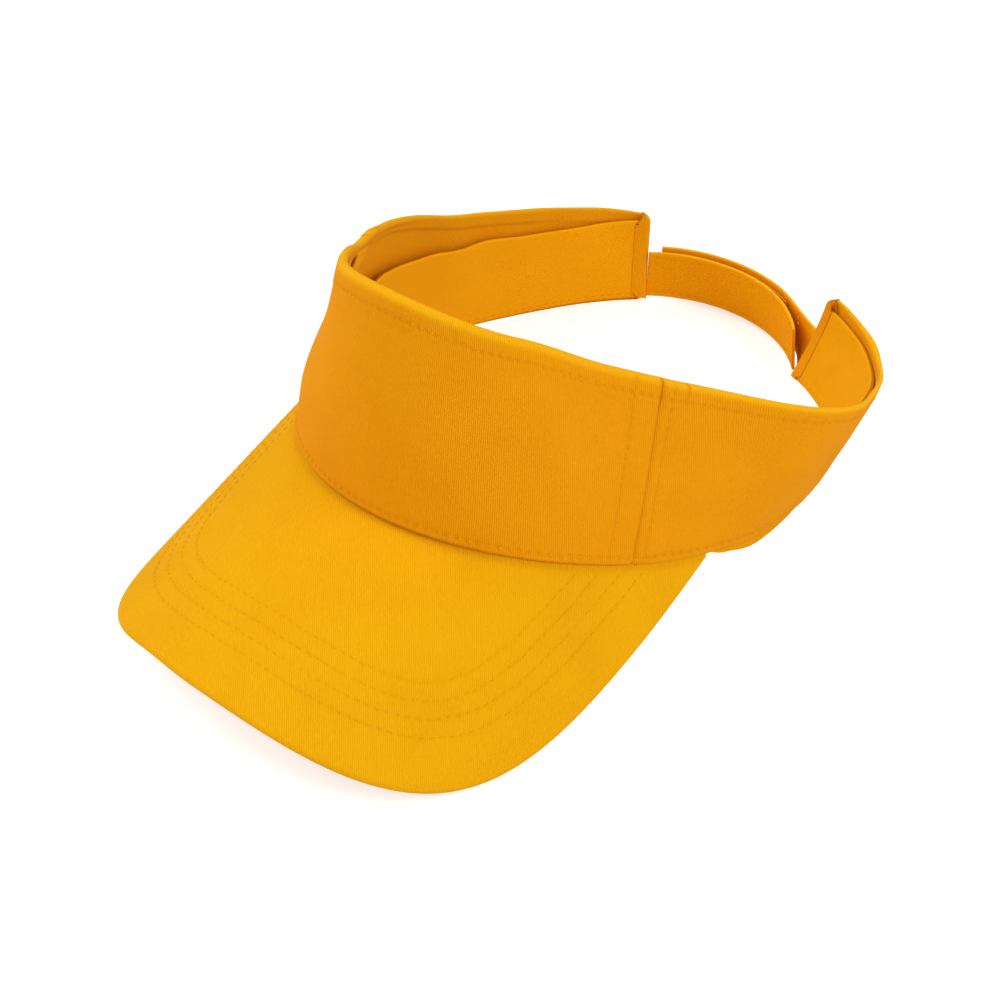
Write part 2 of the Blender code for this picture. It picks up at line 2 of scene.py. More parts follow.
# # A cotton twill sun visor
# This lesson dresses a imported model of a visor: its panels, brim, sweatband and strap become
# cloth with a twill weave, turned hems and real stitches. The imported model is the frame: every
# new piece lies where its plain solid lies, and all but the sides' pieces are attached to a body.

# %% Load the imported model
import bpy
import numpy as np
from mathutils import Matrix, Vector


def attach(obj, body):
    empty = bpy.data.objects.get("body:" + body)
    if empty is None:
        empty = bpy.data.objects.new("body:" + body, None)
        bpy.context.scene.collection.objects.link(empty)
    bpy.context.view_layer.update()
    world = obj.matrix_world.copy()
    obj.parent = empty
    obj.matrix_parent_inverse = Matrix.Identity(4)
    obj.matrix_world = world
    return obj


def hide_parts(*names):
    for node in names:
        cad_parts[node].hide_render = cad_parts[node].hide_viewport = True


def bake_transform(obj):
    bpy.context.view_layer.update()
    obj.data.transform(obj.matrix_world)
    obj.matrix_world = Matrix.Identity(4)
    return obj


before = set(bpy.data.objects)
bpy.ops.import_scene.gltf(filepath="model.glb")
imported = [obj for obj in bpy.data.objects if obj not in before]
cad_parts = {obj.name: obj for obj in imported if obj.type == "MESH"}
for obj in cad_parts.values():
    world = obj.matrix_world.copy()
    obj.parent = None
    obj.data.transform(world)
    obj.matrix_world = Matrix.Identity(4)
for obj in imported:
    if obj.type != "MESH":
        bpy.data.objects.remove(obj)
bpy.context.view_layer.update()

# %% [markdown]
# ## The camera
# A photograph fixes where the camera stood: the object's outline only fits from one place. Here
# the eye is 560 mm from the band, about 39 degrees to the wearer's left of straight ahead and 41
# degrees up, and a 71 mm lens on a 36 mm sensor gives the same framing.

# %% The camera
MM = 0.001
CAMERA_AT = (39.06, 41.18)             # azimuth and elevation, degrees
CAMERA_AWAY = 560.0
CAMERA_LOOKS_AT = (6.5, -21.5, 24.0)
LENS, SENSOR = 70.7, 36.0


def make_camera():
    """The eye lies along (sin a cos e, -cos a cos e, sin e) from the point it looks at."""
    a, e = np.radians(CAMERA_AT)
    back = Vector((np.sin(a) * np.cos(e), -np.cos(a) * np.cos(e), np.sin(e)))
    data = bpy.data.cameras.new("camera")
    data.lens, data.sensor_width = LENS, SENSOR
    data.clip_start, data.clip_end = 0.01, 50.0
    camera = bpy.data.objects.new("camera", data)
    camera.location = (Vector(CAMERA_LOOKS_AT) + back * CAMERA_AWAY) * MM
    camera.rotation_mode = "QUATERNION"
    camera.rotation_quaternion = (-back).to_track_quat("-Z", "Y")
    bpy.context.collection.objects.link(camera)
    bpy.context.scene.camera = camera


make_camera()
print("camera at (mm):", [round(c * 1000) for c in bpy.context.scene.camera.location])

# %% [markdown]
# ## The wall that every band layer follows
# A visor's band is one ribbon. Its lower edge is a line on the brim and then in the air; the
# ribbon stands on it and leans. If the panels, sweatband and tapes are all written as "this far
# along, this far up, this deep", they nest without touching. The numbers are the packed
# model's own, in millimetres.

# %% Curves
RIGHT, LEFT = -1, 1
HALF_LENGTH, FRONT_Y = 228.9, -88.0
BEND_AT = (0.0, 0.2, 0.4, 0.6, 0.8, 1.0)
BEND = {RIGHT: (239.8, 165.2, 105.2, 165.2, 80.0, 148.7),
        LEFT: (239.8, 165.2, 105.2, 117.5, 197.2, 84.6)}
HEIGHT_AT = (0.0, 0.2, 0.35, 0.5, 0.7, 0.85, 1.0)
LOWER = {RIGHT: (39.5, 34.2, 26.6, 17.7, 1.5, 0.0, 0.0),
         LEFT: (39.5, 34.2, 26.6, 17.7, 14.7, 4.0, 0.0)}
UPPER = {RIGHT: (108.2, 96.7, 81.7, 70.5, 53.2, 44.1, 35.3),
         LEFT: (108.2, 96.7, 81.7, 70.5, 49.2, 38.5, 37.6)}
LEAN_AT = (0.0, 0.33, 0.67, 1.0)
LEAN = {RIGHT: (0.174, 0.299, 0.213, 0.042), LEFT: (0.174, 0.299, -0.317, -0.113)}
WALL_CROWN, LEFT_TWIST, TWIST_FROM = 1.0, 10.7, 0.7
SEAM_LOW, SEAM_HIGH = 0.335, 0.398
BRIM_PITCH, BRIM_CURL, BRIM_REACH, BRIM_TAIL = 16.3, 58.0, 65.5, 1.4
BRIM_END, BRIM_END_SPAN = 0.436, 0.972
SIDE_POWER, TIP_POWER = 2.68, 4.28
FOOT_GAP, FOOT_EASE, ALLOWANCE = 0.3, 0.09, 4.0
ROW_ORIGIN = np.array([6.319, -23.673, 0.0])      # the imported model's origin in these numbers


def through(knots, values, x):
    """Monotone cubic: Hermite pieces whose slope is the weighted harmonic mean at each knot."""
    knots, values, x = (np.asarray(a, float) for a in (knots, values, x))
    step = np.diff(knots)
    slope = np.diff(values) / step
    before, after = slope[:-1], slope[1:]
    wa, wb = 2 * step[1:] + step[:-1], step[1:] + 2 * step[:-1]
    same = before * after > 0
    mean = (wa + wb) / (wa / np.where(same, before, 1.0) + wb / np.where(same, after, 1.0))
    tangent = np.concatenate([[0.0], np.where(same, mean, 0.0), [slope[-1]]])
    i = np.clip(np.searchsorted(knots, x, side="right") - 1, 0, len(step) - 1)
    t = (x - knots[i]) / step[i]
    at_knots = values[i] * (2 * t**3 - 3 * t**2 + 1) + values[i + 1] * (3 * t**2 - 2 * t**3)
    leaving = step[i] * tangent[i] * (t**3 - 2 * t**2 + t)
    return at_knots + leaving + step[i] * tangent[i + 1] * (t**3 - t**2)


def ease(x):
    """3x^2 - 2x^3 between 0 and 1: level at both ends."""
    x = np.clip(x, 0.0, 1.0)
    return x * x * (3 - 2 * x)


def ramp(x, start, end):
    """The same rise between two given values of x."""
    return ease((x - start) / (end - start))


def hump(x, width):
    """exp(-(x / width)^2): 1 at 0, gone after twice the width."""
    return np.exp(-(x / width) ** 2)


def length_along(line):
    """The way walked along a line of points, at each of them."""
    return np.concatenate([[0], np.cumsum(np.linalg.norm(np.diff(line, axis=0), axis=1))])


def walk(bends, steps=460):
    """Heading is the sum of the bend, and the place is the sum of the heading's steps."""
    share = np.linspace(0, 1, steps + 1)
    bend = np.radians(through(BEND_AT, bends, share)) / steps
    heading = np.concatenate([[0], np.cumsum((bend[1:] + bend[:-1]) / 2)])
    dx, dy = np.cos(heading) * HALF_LENGTH / steps, np.sin(heading) * HALF_LENGTH / steps
    x = np.concatenate([[0], np.cumsum((dx[1:] + dx[:-1]) / 2)])
    y = FRONT_Y + np.concatenate([[0], np.cumsum((dy[1:] + dy[:-1]) / 2)])
    return share, x, y, heading


PATHS = {side: walk(BEND[side]) for side in (RIGHT, LEFT)}
print("back ends (mm):",
      {side: [round(p[1][-1] * side, 1), round(p[2][-1], 1)] for side, p in PATHS.items()})

# %% The brim's cylinder
PITCH, CURL = np.radians(BRIM_PITCH), np.radians(BRIM_CURL)
FORWARD = np.array([0.0, -np.cos(PITCH), -np.sin(PITCH)])
BRIM_UP = np.array([0.0, -np.sin(PITCH), np.cos(PITCH)])
BOTH_ENDS = [[np.interp(BRIM_END, p[0], p[i]) for i in (1, 2)] for p in PATHS.values()]
END_X, END_Y = np.mean(BOTH_ENDS, axis=0)
HALF_WIDTH = END_X * CURL / np.sin(CURL * BRIM_END_SPAN)
BRIM_RADIUS = HALF_WIDTH / CURL
BRIM_THICK = 3.2


def brim_flat(x, y):
    """Place in plan to the flattened brim: s round the cylinder, v forward of the seam."""
    s = BRIM_RADIUS * np.arcsin(np.clip(x / BRIM_RADIUS, -0.99, 0.99))
    drop = BRIM_RADIUS * (1 - np.cos(s / BRIM_RADIUS))
    return s, (-(y - FRONT_Y) + drop * np.sin(PITCH)) / np.cos(PITCH)


WIDEST = BRIM_TAIL - brim_flat(END_X, END_Y)[1]


def brim_point(s, v, depth, seam_height=None):
    """Rolls the flat brim up again: x = R sin(s / R), drop = R - R cos(s / R), v along FORWARD."""
    seam_height = SEAM_HEIGHT if seam_height is None else seam_height
    s, v, depth = np.broadcast_arrays(*(np.asarray(a, float) for a in (s, v, depth)))
    radius = BRIM_RADIUS - depth
    x, drop = radius * np.sin(s / BRIM_RADIUS), BRIM_RADIUS - radius * np.cos(s / BRIM_RADIUS)
    return (np.array([0.0, FRONT_Y, seam_height]) + v[..., None] * FORWARD
            - drop[..., None] * BRIM_UP + x[..., None] * np.array([1.0, 0.0, 0.0]))


CORNER_TRIM, CORNER_SPAN = 1.2, 32             # mm, and over how much of the edge
FRONT_TRIM, FRONT_TRIM_AT, FRONT_TRIM_SPAN = 1.25, 0.425, 0.045


def brim_outline(inset, count, trimmed=False):
    """Superellipse: s = W sin(k)^(2/p), v = L cos(k)^(2/q), spaced evenly along the edge.

    Trimmed, it comes in along its normal at the left rear corner, which slips under the band,
    and at the right front corner, which is cut a little tighter.
    """
    k = np.linspace(0, np.pi / 2, 1200)
    s = (HALF_WIDTH - inset) * np.sin(k) ** (2 / SIDE_POWER)
    v = (BRIM_REACH + WIDEST - inset) * np.cos(k) ** (2 / TIP_POWER) - WIDEST
    s, v = np.concatenate([-s[:0:-1], s]), np.concatenate([v[:0:-1], v])
    walked = np.concatenate([[0], np.cumsum(np.hypot(np.diff(s), np.diff(v)))])
    even = np.linspace(0, walked[-1], count)
    s, v = np.interp(even, walked, s), np.interp(even, walked, v)
    if not trimmed:
        return s, v
    ds, dv = np.gradient(s), np.gradient(v)
    length = np.hypot(ds, dv)
    corner = CORNER_TRIM * np.clip(1 - (walked[-1] - even) / CORNER_SPAN, 0, 1) ** 1.5
    come_in = corner + FRONT_TRIM * hump(even / walked[-1] - FRONT_TRIM_AT, FRONT_TRIM_SPAN)
    return s + dv / length * come_in, v - ds / length * come_in


SEAM_HEIGHT = -min(brim_point(*brim_outline(0.0, 45), BRIM_THICK - 0.5, 0.0)[:, 2].min(),
                   brim_point(*brim_outline(1.2, 45), BRIM_THICK, 0.0)[:, 2].min())


def foot_height(x, y):
    s, v = brim_flat(x, y)
    steepness = 1 / (np.cos(s / BRIM_RADIUS) * np.cos(PITCH))
    return brim_point(s, v, 0.0)[..., 2] + FOOT_GAP * steepness


print("brim radius and half width (mm):", round(BRIM_RADIUS, 1), round(HALF_WIDTH, 1))

# %% [markdown]
# Soft cloth never stands as true as a drawing. A few long, low waves are added to the wall
# itself, so that every layer of the band shares them. They fade out at the brim, which the band
# is sewn to, and grow towards the loose sides.

# %% The wall
# Soft dents: share along the half, its width, rise, its width, and millimetres outwards.
DENTS = {RIGHT: ((0.25, 0.09, 0.30, 0.18, 0.9), (0.25, 0.09, 0.74, 0.20, -1.5)),
         LEFT: ((0.82, 0.08, 0.85, 0.25, 0.5), (0.71, 0.08, 0.25, 0.28, -0.8))}
WAVE = 0.26


def cloth_wave(place, rise):
    """Sums of sines of unlike lengths, scaled by how free the cloth is there, and the dents."""
    share = np.abs(place)
    free = ease((share - 0.2) / 0.4) * ease((rise - 0.05) / 0.5)
    along = share * HALF_LENGTH
    wave = (np.sin(along / 7.3 + 1.3 + 2 * rise) + 0.7 * np.sin(along / 11.9 - 3 * rise)
            + 0.5 * np.sin(along / 4.1 + 4 * rise + np.where(place < 0, 2.0, 0.0)))
    right, left = (sum(out * hump(share - at, wide) * hump(rise - up, high)
                       for at, wide, up, high, out in DENTS[side]) for side in (RIGHT, LEFT))
    return WAVE * free * wave + np.where(place < 0, right, left)


def side_wall(side, share, rise, depth):
    """Out along the path's normal by lean, crown and depth; up from the lower to the upper edge."""
    at, path_x, path_y, path_heading = PATHS[side]
    share = np.clip(share, 0, 1)
    x, y = np.interp(share, at, path_x), np.interp(share, at, path_y)
    heading = np.interp(share, at, path_heading)
    along = np.stack([np.cos(heading), np.sin(heading)], -1)
    out = np.stack([np.sin(heading), -np.cos(heading)], -1)
    low, free = foot_height(x, y), ease((share - BRIM_END) / FOOT_EASE)
    low = low + (through(HEIGHT_AT, LOWER[side], share) - low) * free
    high = through(HEIGHT_AT, UPPER[side], share)
    lean = through(LEAN_AT, LEAN[side], share) * (high - low)
    twist = LEFT_TWIST if side == LEFT else 0.0
    trail = twist * np.clip((share - TWIST_FROM) / (1 - TWIST_FROM), 0, 1) ** 2
    crown = WALL_CROWN * 4 * rise * (1 - rise)
    offset = -lean * rise + crown - depth + cloth_wave(side * share, rise)
    plan = np.stack([x, y], -1) + out * offset[..., None] - along * (trail * rise)[..., None]
    z = low + (high - low) * rise
    over = foot_height(plan[..., 0], plan[..., 1])
    lift = np.maximum(over - z, 0) * (1 - free)
    z = z + lift * (1 - np.clip(rise / 0.2, 0, 1))
    return np.stack([plan[..., 0] * side, plan[..., 1], z], -1)


def wall(place, rise, depth):
    """Both halves: place is the share along a half, negative on the wearer's right."""
    place, rise, depth = np.broadcast_arrays(*(np.asarray(a, float) for a in (place, rise, depth)))
    left, right = (side_wall(side, np.abs(place), rise, depth) for side in (LEFT, RIGHT))
    return np.where((place >= 0)[..., None], left, right)


def wall_height(place):
    return np.linalg.norm(wall(place, 1.0, 0.0) - wall(place, 0.0, 0.0), axis=-1)


def seam_place(rise):
    return SEAM_LOW + (SEAM_HIGH - SEAM_LOW) * rise


SHARE = 1 / HALF_LENGTH
END_SHARE = 1 - 3.3 * SHARE            # where the panels give way to the bound ends
print("band heights (mm):", wall_height(np.array([-1, -0.5, 0, 0.5, 1.0])).round(1))

# %% [markdown]
# ## Cloth pieces
# A sewn layer is a closed skin: up one face, round a soft edge, down the other face. Worked out
# as one grid, round the section by along the band, it needs no modelling by hand. Each corner
# keeps its place in the flat cloth, in metres, as a UV map, so that one weave fits every piece.

# %% Mesh from grids
SHARP_ABOVE = 50                       # degrees between faces; a gentler edge is shaded smooth


def add_mesh(name, points, faces, uv, painted_shading=None):
    """Millimetres in these numbers to metres in the row's frame; one UV pair per point."""
    mesh = bpy.data.meshes.new(name)
    points = (points.reshape(-1, 3) - ROW_ORIGIN) * MM
    mesh.from_pydata(points.tolist(), [], faces)
    layer = mesh.uv_layers.new(name="cloth")
    corner = np.empty(len(mesh.loops), np.int32)
    mesh.loops.foreach_get("vertex_index", corner)
    layer.data.foreach_set("uv", (uv.reshape(-1, 2)[corner] * MM).astype(np.float32).ravel())
    # A point attribute of painted shading: painted shade above zero, painted highlight below.
    attribute = mesh.attributes.new("painted_shading", "FLOAT", "POINT")
    painted_shading = np.zeros(len(points)) if painted_shading is None else np.broadcast_to(painted_shading, points.shape[:1])
    attribute.data.foreach_set("value", painted_shading.astype(np.float32).ravel())
    mesh.shade_smooth()
    mesh.set_sharp_from_angle(angle=float(np.radians(SHARP_ABOVE)))
    mesh.update()
    piece = bpy.data.objects.new(name, mesh)
    bpy.context.collection.objects.link(piece)
    return piece


def signed_volume(points, quads):
    """A sixth of the sum of a . (b x c) over the triangles: negative if the skin is inside out."""
    a, b, c, d = (points[quads[:, i]] for i in range(4))
    return ((a * np.cross(b, c)).sum() + (a * np.cross(c, d)).sum()) / 6


def loop_quads(n, m):
    """The points' numbers, and the quads between n closed sections of m points each."""
    index = np.arange(n * m).reshape(n, m)
    ahead = np.roll(index, -1, axis=1)
    return index, np.stack([index[:-1], ahead[:-1], ahead[1:], index[1:]], -1).reshape(-1, 4)


def closed_skin(name, points, uv, painted_shading):
    """Closes a grid of n sections by m points: quads round each section, ladders at both ends."""
    n, m = points.shape[:2]
    index, body = loop_quads(n, m)
    k = np.arange(m // 2 - 1)
    ladder = np.stack([k, k + 1, m - 2 - k, m - 1 - k], -1)
    quads = np.concatenate([body, index[0][ladder[:, ::-1]], index[-1][ladder]])
    flat = points.reshape(-1, 3)
    if signed_volume(flat, quads) < 0:
        quads = quads[:, ::-1]
    return add_mesh(name, flat, quads.tolist(), uv, painted_shading.ravel())


def capped_grid(name, points, uv, painted_shading=0.0):
    """Closed sections joined one after another, with one flat face over each end."""
    index, quads = loop_quads(*points.shape[:2])
    flat = points.reshape(-1, 3)
    faces = quads.tolist() + [index[0][::-1].tolist(), index[-1].tolist()]
    if signed_volume(flat, quads) < 0:
        faces = [face[::-1] for face in faces]
    return add_mesh(name, flat, faces, uv, painted_shading)


def section(thickness, rows, turn_steps=4):
    """Up the face (share 0 to 1), round a half circle, down the back, round again.

    Gives the share of the height, the lift past it and the depth in millimetres. It starts in
    the middle of the lower turn, so that point k faces point m - 1 - k across the cloth.
    """
    up = np.linspace(0, 1, rows)
    turn = np.linspace(0, np.pi, turn_steps + 2)[1:-1]
    share = np.concatenate([up, np.ones(turn_steps), up[::-1], np.zeros(turn_steps)])
    lift = np.concatenate([0 * up, np.sin(turn), 0 * up, -np.sin(turn)]) * thickness / 2
    depth = np.concatenate([0 * up, (1 - np.cos(turn)) / 2, 0 * up + 1, (1 + np.cos(turn)) / 2])
    depth = depth * thickness
    shift = turn_steps // 2
    return np.roll(share, shift), np.roll(lift, shift), np.roll(depth, shift)


PALER_INSIDE = 0.18                    # painted light on inner faces: it makes them paler
always = lambda value: (lambda x, *_: value + 0 * x)
unsewn = lambda place, up, *_: (0 * place + 0 * up, 0 * up)


def band_layer(name, start, end, low, high, depth, thickness, relief, columns, rows, bulk=None):
    """A layer of the band between two edges along it and two edges up it.

    start and end are places as functions of rise; low and high are rises as functions of place;
    depth is the depth of its outer face; relief(place, up, height) lifts the outer face, in
    millimetres, and also gives the painted shade or highlight there. bulk(place, below_top)
    thickens the cloth on its inner side. Returns the piece, its greatest height and length in
    metres, and the area of its outer face.
    """
    share, lift, inner = (a[None, :] for a in section(thickness, rows))
    across = np.linspace(0, 1, columns)[:, None]
    rise = share + 0 * across
    for _ in range(3):
        place = start(rise) + (end(rise) - start(rise)) * across
        height = wall_height(place)
        swell = 1 + (bulk(place, 0 * place) if bulk else 0.0) / thickness
        bottom = low(place) + thickness / 2 / height
        top = high(place) - swell * thickness / 2 / height
        rise = bottom + (top - bottom) * share + lift * np.where(lift > 0, swell, 1.0) / height
    raised, painted_shading = relief(place, rise * height, height)
    face = 1 - inner / thickness
    extra = bulk(place, np.maximum(height * (1 - rise), 0)) if bulk else 0.0
    deep = depth(place, share) + inner * (1 + extra / thickness) - raised * face
    points = wall(place, rise, deep)
    up = np.where(inner < thickness / 2, rise, 2 - rise) * height
    uv = np.stack([place * HALF_LENGTH, up], -1)
    # Painted shading goes on the outer face; the inner face is painted paler, as if better lit.
    piece = closed_skin(name, points, uv, painted_shading * face - PALER_INSIDE * (1 - face) + 0 * place)
    a, b = points[:-1, :rows], points[1:, :rows]
    area = np.linalg.norm(np.cross(a[:, 1:] - a[:, :-1], b[:, :-1] - a[:, :-1]), axis=-1).sum()
    tall = float(((top - bottom) * height).max() + thickness)
    size = (tall * MM, float(np.ptp(place)) * HALF_LENGTH * MM)
    return piece, size, float(area * MM**2)

# %% [markdown]
# Seams are what make cloth look sewn. A row of stitches pulls the cloth in along its line, and
# the cloth puckers beside it in small ripples that run across the line. Both are written as a
# relief: a height that depends on the distance from the line and the way along it.

# %% Relief of a seam
STITCH_PITCH, RIPPLE_LENGTH = 2.8, 5.6


def pucker(across, along, pull=0.3, ripple=0.10, reach=3.0):
    """A groove that is deepest at the needle holes, one every pitch, with ripples beside it.

    -pull exp(-(d/0.8)^2) (0.6 + 0.4 cos(2 pi a / pitch))
    + ripple exp(-(d/reach)^2) cos(wandering phase)
    """
    groove = hump(across, 0.8)
    holes = 0.6 + 0.4 * np.cos(2 * np.pi * along / STITCH_PITCH)
    wander = 1.7 * np.sin(along / 8.7) + 1.1 * np.sin(along / 3.9 + 1.0)
    phase = 2 * np.pi * along / RIPPLE_LENGTH + wander + 0.3 * across
    amount = ripple * (0.6 + 0.4 * np.sin(along / 17.0 + 0.5))
    return -pull * groove * holes + amount * hump(across, reach) * (1 - groove) * np.cos(phase)


def seam_shade(across, along):
    """Shade gathers at the needle holes: a narrow hump, strongest once every pitch."""
    at_hole = (0.5 + 0.5 * np.cos(2 * np.pi * along / STITCH_PITCH)) ** 2
    return hump(across, 0.6) * (0.3 + 0.7 * at_hole)


HEM = 5.2                              # the hem's stitches, under the upper edge
FOOT_ROW, FREE_FOOT_ROW = 3.0, 3.4     # the stitches above the brim, and behind it
ROW_BEFORE, ROW_BEHIND = 7.6, 3.2      # the stitches on each side of a side seam
END_ROW = 5.5                          # the stitches across each end
HEM_ROLL, FRONT_HEM_ROLL = 0.9, 0.8    # the hem's extra thickness inside, and more in front
END_HEM_ROLL = 0.3                     # and the least of it, up to the bound ends
HEM_THINS = {LEFT: (0.60, 0.68), RIGHT: (0.80, 0.88)}


def seam_distance(place, up, height):
    """Millimetres along the band from the side seam, positive behind it."""
    return (np.abs(place) - seam_place(up / height)) * HALF_LENGTH


def hem_bulk(place, below_top):
    """The turned edge is twice as thick, less so where the sweatband comes up to it."""
    share = np.abs(place)
    thins, thin = (np.where(place > 0, HEM_THINS[LEFT][i], HEM_THINS[RIGHT][i]) for i in (0, 1))
    full = HEM_ROLL * (1 - ramp(share, thins, thin))
    full = full + FRONT_HEM_ROLL * (1 - ramp(share, 0.5, 0.62)) * (1 - ramp(below_top, 2.0, 3.2))
    full = np.maximum(full, END_HEM_ROLL * (1 - ramp(share, 0.955, 0.975)))
    return full * (1 - ramp(below_top, HEM - 0.5, HEM + 1.5))


def hem_relief(place, up, height):
    """The hem stands a little proud outside too, and its stitches pull it down."""
    along = place * HALF_LENGTH
    below_top = height - up
    hem = 0.2 * (1 - ramp(below_top, HEM + 1.5, HEM + 3.0))
    return hem + pucker(below_top - HEM, along)


def rim_highlight(place, below_top):
    """A painted highlight along the upper edge's fold, strongest towards the left end."""
    return (0.6 + 0.35 * ramp(place, 0.70, 0.80)) * hump(below_top, 1.3)


def front_relief(place, up, height):
    """The front panel: its hem, its foot on the brim, and the rows beside the side seams."""
    along, seam = place * HALF_LENGTH, seam_distance(place, up, height)
    foot = -0.5 * hump(up, 0.9) + 0.35 * hump(up - 1.8, 0.8)
    foot = foot + pucker(up - FOOT_ROW, along, 0.26, 0.12, 2.0)
    side = -0.45 * hump(seam, 0.8) + pucker(seam + ROW_BEFORE, up, 0.12, 0.07)
    side = side + 0.12 * ease((seam + 9) / 2)
    # Painted shade at stitch rows, the seam crease and the foot; less the painted rim highlight.
    shade = np.maximum.reduce([
        0.8 * seam_shade(height - up - HEM, along), seam_shade(up - FOOT_ROW, along),
        0.4 * seam_shade(seam + ROW_BEFORE, up), 0.6 * hump(seam, 0.7), 0.9 * hump(up, 0.7)])
    return hem_relief(place, up, height) + foot + side, shade - rim_highlight(place, height - up)


def side_relief(place, up, height):
    """A side panel: the seam's turned cloth lies under its first 6 mm and thickens the hem."""
    along, seam = place * HALF_LENGTH, seam_distance(place, up, height)
    end = (1 - np.abs(place)) * HALF_LENGTH
    on_brim = 1 - ease((np.abs(place) - BRIM_END) / 0.03)
    foot_edge = np.where(on_brim > 0.5, FOOT_ROW, FREE_FOOT_ROW)
    foot = -0.4 * hump(up, 1.0) + pucker(up - foot_edge, along, 0.22, 0.10, 2.4)
    bulk = (0.10 + 0.5 * hump(height - up, 7.0)) * (1 - ease((seam - 6.2) / 0.9))
    side = -0.45 * hump(seam, 0.8) + pucker(seam - ROW_BEHIND, up, 0.12, 0.07)
    rim_bow = np.where(place > 0, 0.9, 0.0) * hump(np.abs(place) - 0.86, 0.06)
    rim_bow = rim_bow * hump(height - up, 7.0)
    # Painted shade at stitch rows and seam crease, painted shadow at the turned cloth's edge.
    shade = np.maximum.reduce([
        0.8 * seam_shade(height - up - HEM, along), seam_shade(up - foot_edge, along),
        0.4 * seam_shade(seam - ROW_BEHIND, up), 0.6 * hump(seam, 0.7),
        0.9 * hump(seam - 6.7, 0.5) * (1 - ramp(height - up, 5.0, 8.0))])
    raised = hem_relief(place, up, height) + foot + side + bulk + rim_bow
    return raised + pucker(end - END_ROW, up, 0.2, 0.06), shade - rim_highlight(place, height - up)


# %% [markdown]
# ## Threads
# Each stitch is a short, slightly raised sausage of thread that dives into the cloth at both
# ends. All the stitches of a row are one array: count by steps along by steps round.

# %% Stitches along a line
STITCH_SHARE, THREAD_RADIUS, THREAD_SINK = 0.72, 0.17, 0.06
STEPS = 6                              # along a stitch, and round it
CAPS = np.array([[0, 1, 2, 3], [0, 3, 4, 5], [33, 32, 31, 30], [35, 34, 33, 30]])
SEWN = []


def sew(name, line, normal):
    """Centre = point on the line + normal (h sin(pi a) - dip); radius = r sqrt(sin(pi a))."""
    walked = length_along(line)
    count = max(int(walked[-1] / STITCH_PITCH), 1)
    a = np.linspace(0.04, 0.96, STEPS)
    jitter = 0.12 * np.sin(np.arange(count) * 2.4)[:, None]
    at = np.arange(count)[:, None] + (1 - STITCH_SHARE) / 2 + STITCH_SHARE * a + jitter * 0.3
    at = at * walked[-1] / count
    pick = lambda values: np.stack([np.interp(at, walked, values[:, i]) for i in range(3)], -1)
    centre, up = pick(line), pick(normal)
    up /= np.linalg.norm(up, axis=-1, keepdims=True)
    tangent = np.gradient(centre, axis=1)
    tangent /= np.linalg.norm(tangent, axis=-1, keepdims=True)
    side = np.cross(tangent, up)
    centre = centre + up * (0.26 * np.sin(np.pi * a) - 0.14)[None, :, None]
    centre = centre + side * (0.05 * jitter)[..., None]
    around = np.linspace(0, 2 * np.pi, STEPS + 1)[:-1]
    radius = THREAD_RADIUS * np.sqrt(np.sin(np.pi * a))[None, :, None, None]
    ring = up[:, :, None] * np.cos(around)[:, None] + side[:, :, None] * np.sin(around)[:, None]
    points = centre[:, :, None] + ring * radius
    index = np.arange(STEPS * STEPS).reshape(STEPS, STEPS)
    ahead = np.roll(index, -1, axis=1)
    quads = np.stack([index[:-1], index[1:], ahead[1:], ahead[:-1]], -1).reshape(-1, 4)
    quads = np.concatenate([quads, CAPS])
    if signed_volume(points[0].reshape(-1, 3), quads) < 0:
        quads = quads[:, ::-1]
    faces = (quads[None] + (np.arange(count) * STEPS**2)[:, None, None]).reshape(-1, 4)
    uv = np.stack(np.broadcast_arrays(at[:, :, None], around[None, None] * THREAD_RADIUS), -1)
    # Painted shade at each stitch's ends, where the thread dives into the cloth.
    ends = np.broadcast_to(np.abs(2 * a - 1)[None, :, None] ** 3, points.shape[:3])
    SEWN.append(count)
    return add_mesh(name, points, faces.tolist(), uv, ends.ravel())


def wall_line(place, up, relief):
    """A line on the band, and the way out of the cloth there; up is in millimetres."""
    height = wall_height(place)
    line = wall(place, up / height, THREAD_SINK - relief(place, up, height)[0])
    out = wall(place, up / height, THREAD_SINK - 1.0) - wall(place, up / height, THREAD_SINK)
    return line, out


# %% [markdown]
# ## Finishes
# Twill shows fine slanting ridges. On this cloth they are 0.6 mm apart, so the weave is a node
# group that turns the flat cloth's coordinates and folds them into ridges, and each ridge into
# short floats of yarn. The group gives a height for the bump and painted shade for the colour.

# %% Node helpers
def feed(tree, socket, value):
    """Links a socket to another one, or gives it a plain value."""
    if isinstance(value, bpy.types.NodeSocket):
        tree.links.new(value, socket)
    else:
        socket.default_value = value


def node(tree, kind, settings=None, **links):
    """Adds a node and sets its properties. i6 feeds input number 6, any other name the input."""
    item = tree.nodes.new(kind)
    for key, value in (settings or {}).items():
        setattr(item, key, value)
    for key, value in links.items():
        numbered = key[0] == "i" and key[1:].isdigit()
        feed(tree, item.inputs[int(key[1:]) if numbered else key.replace("_", " ")], value)
    return item


def maths(tree):
    """A function that adds a math node to this tree, so that a formula reads as one."""
    def add(operation, *values):
        item = node(tree, "ShaderNodeMath", {"operation": operation})
        for i, value in enumerate(values):
            feed(tree, item.inputs[i], value)
        return item.outputs[0]
    return add


def mix_colours(tree, amount, first, second):
    mix = node(tree, "ShaderNodeMix", {"data_type": "RGBA"}, i0=amount, i6=first, i7=second)
    return mix.outputs[2]


def bump(tree, height, strength, distance, shader):
    bumped = node(tree, "ShaderNodeBump", Height=height, Strength=strength, Distance=distance)
    tree.links.new(bumped.outputs[0], shader.inputs["Normal"])


def new_material(name):
    material = bpy.data.materials.new(name)
    material.use_nodes = True
    return material, material.node_tree, material.node_tree.nodes["Principled BSDF"]


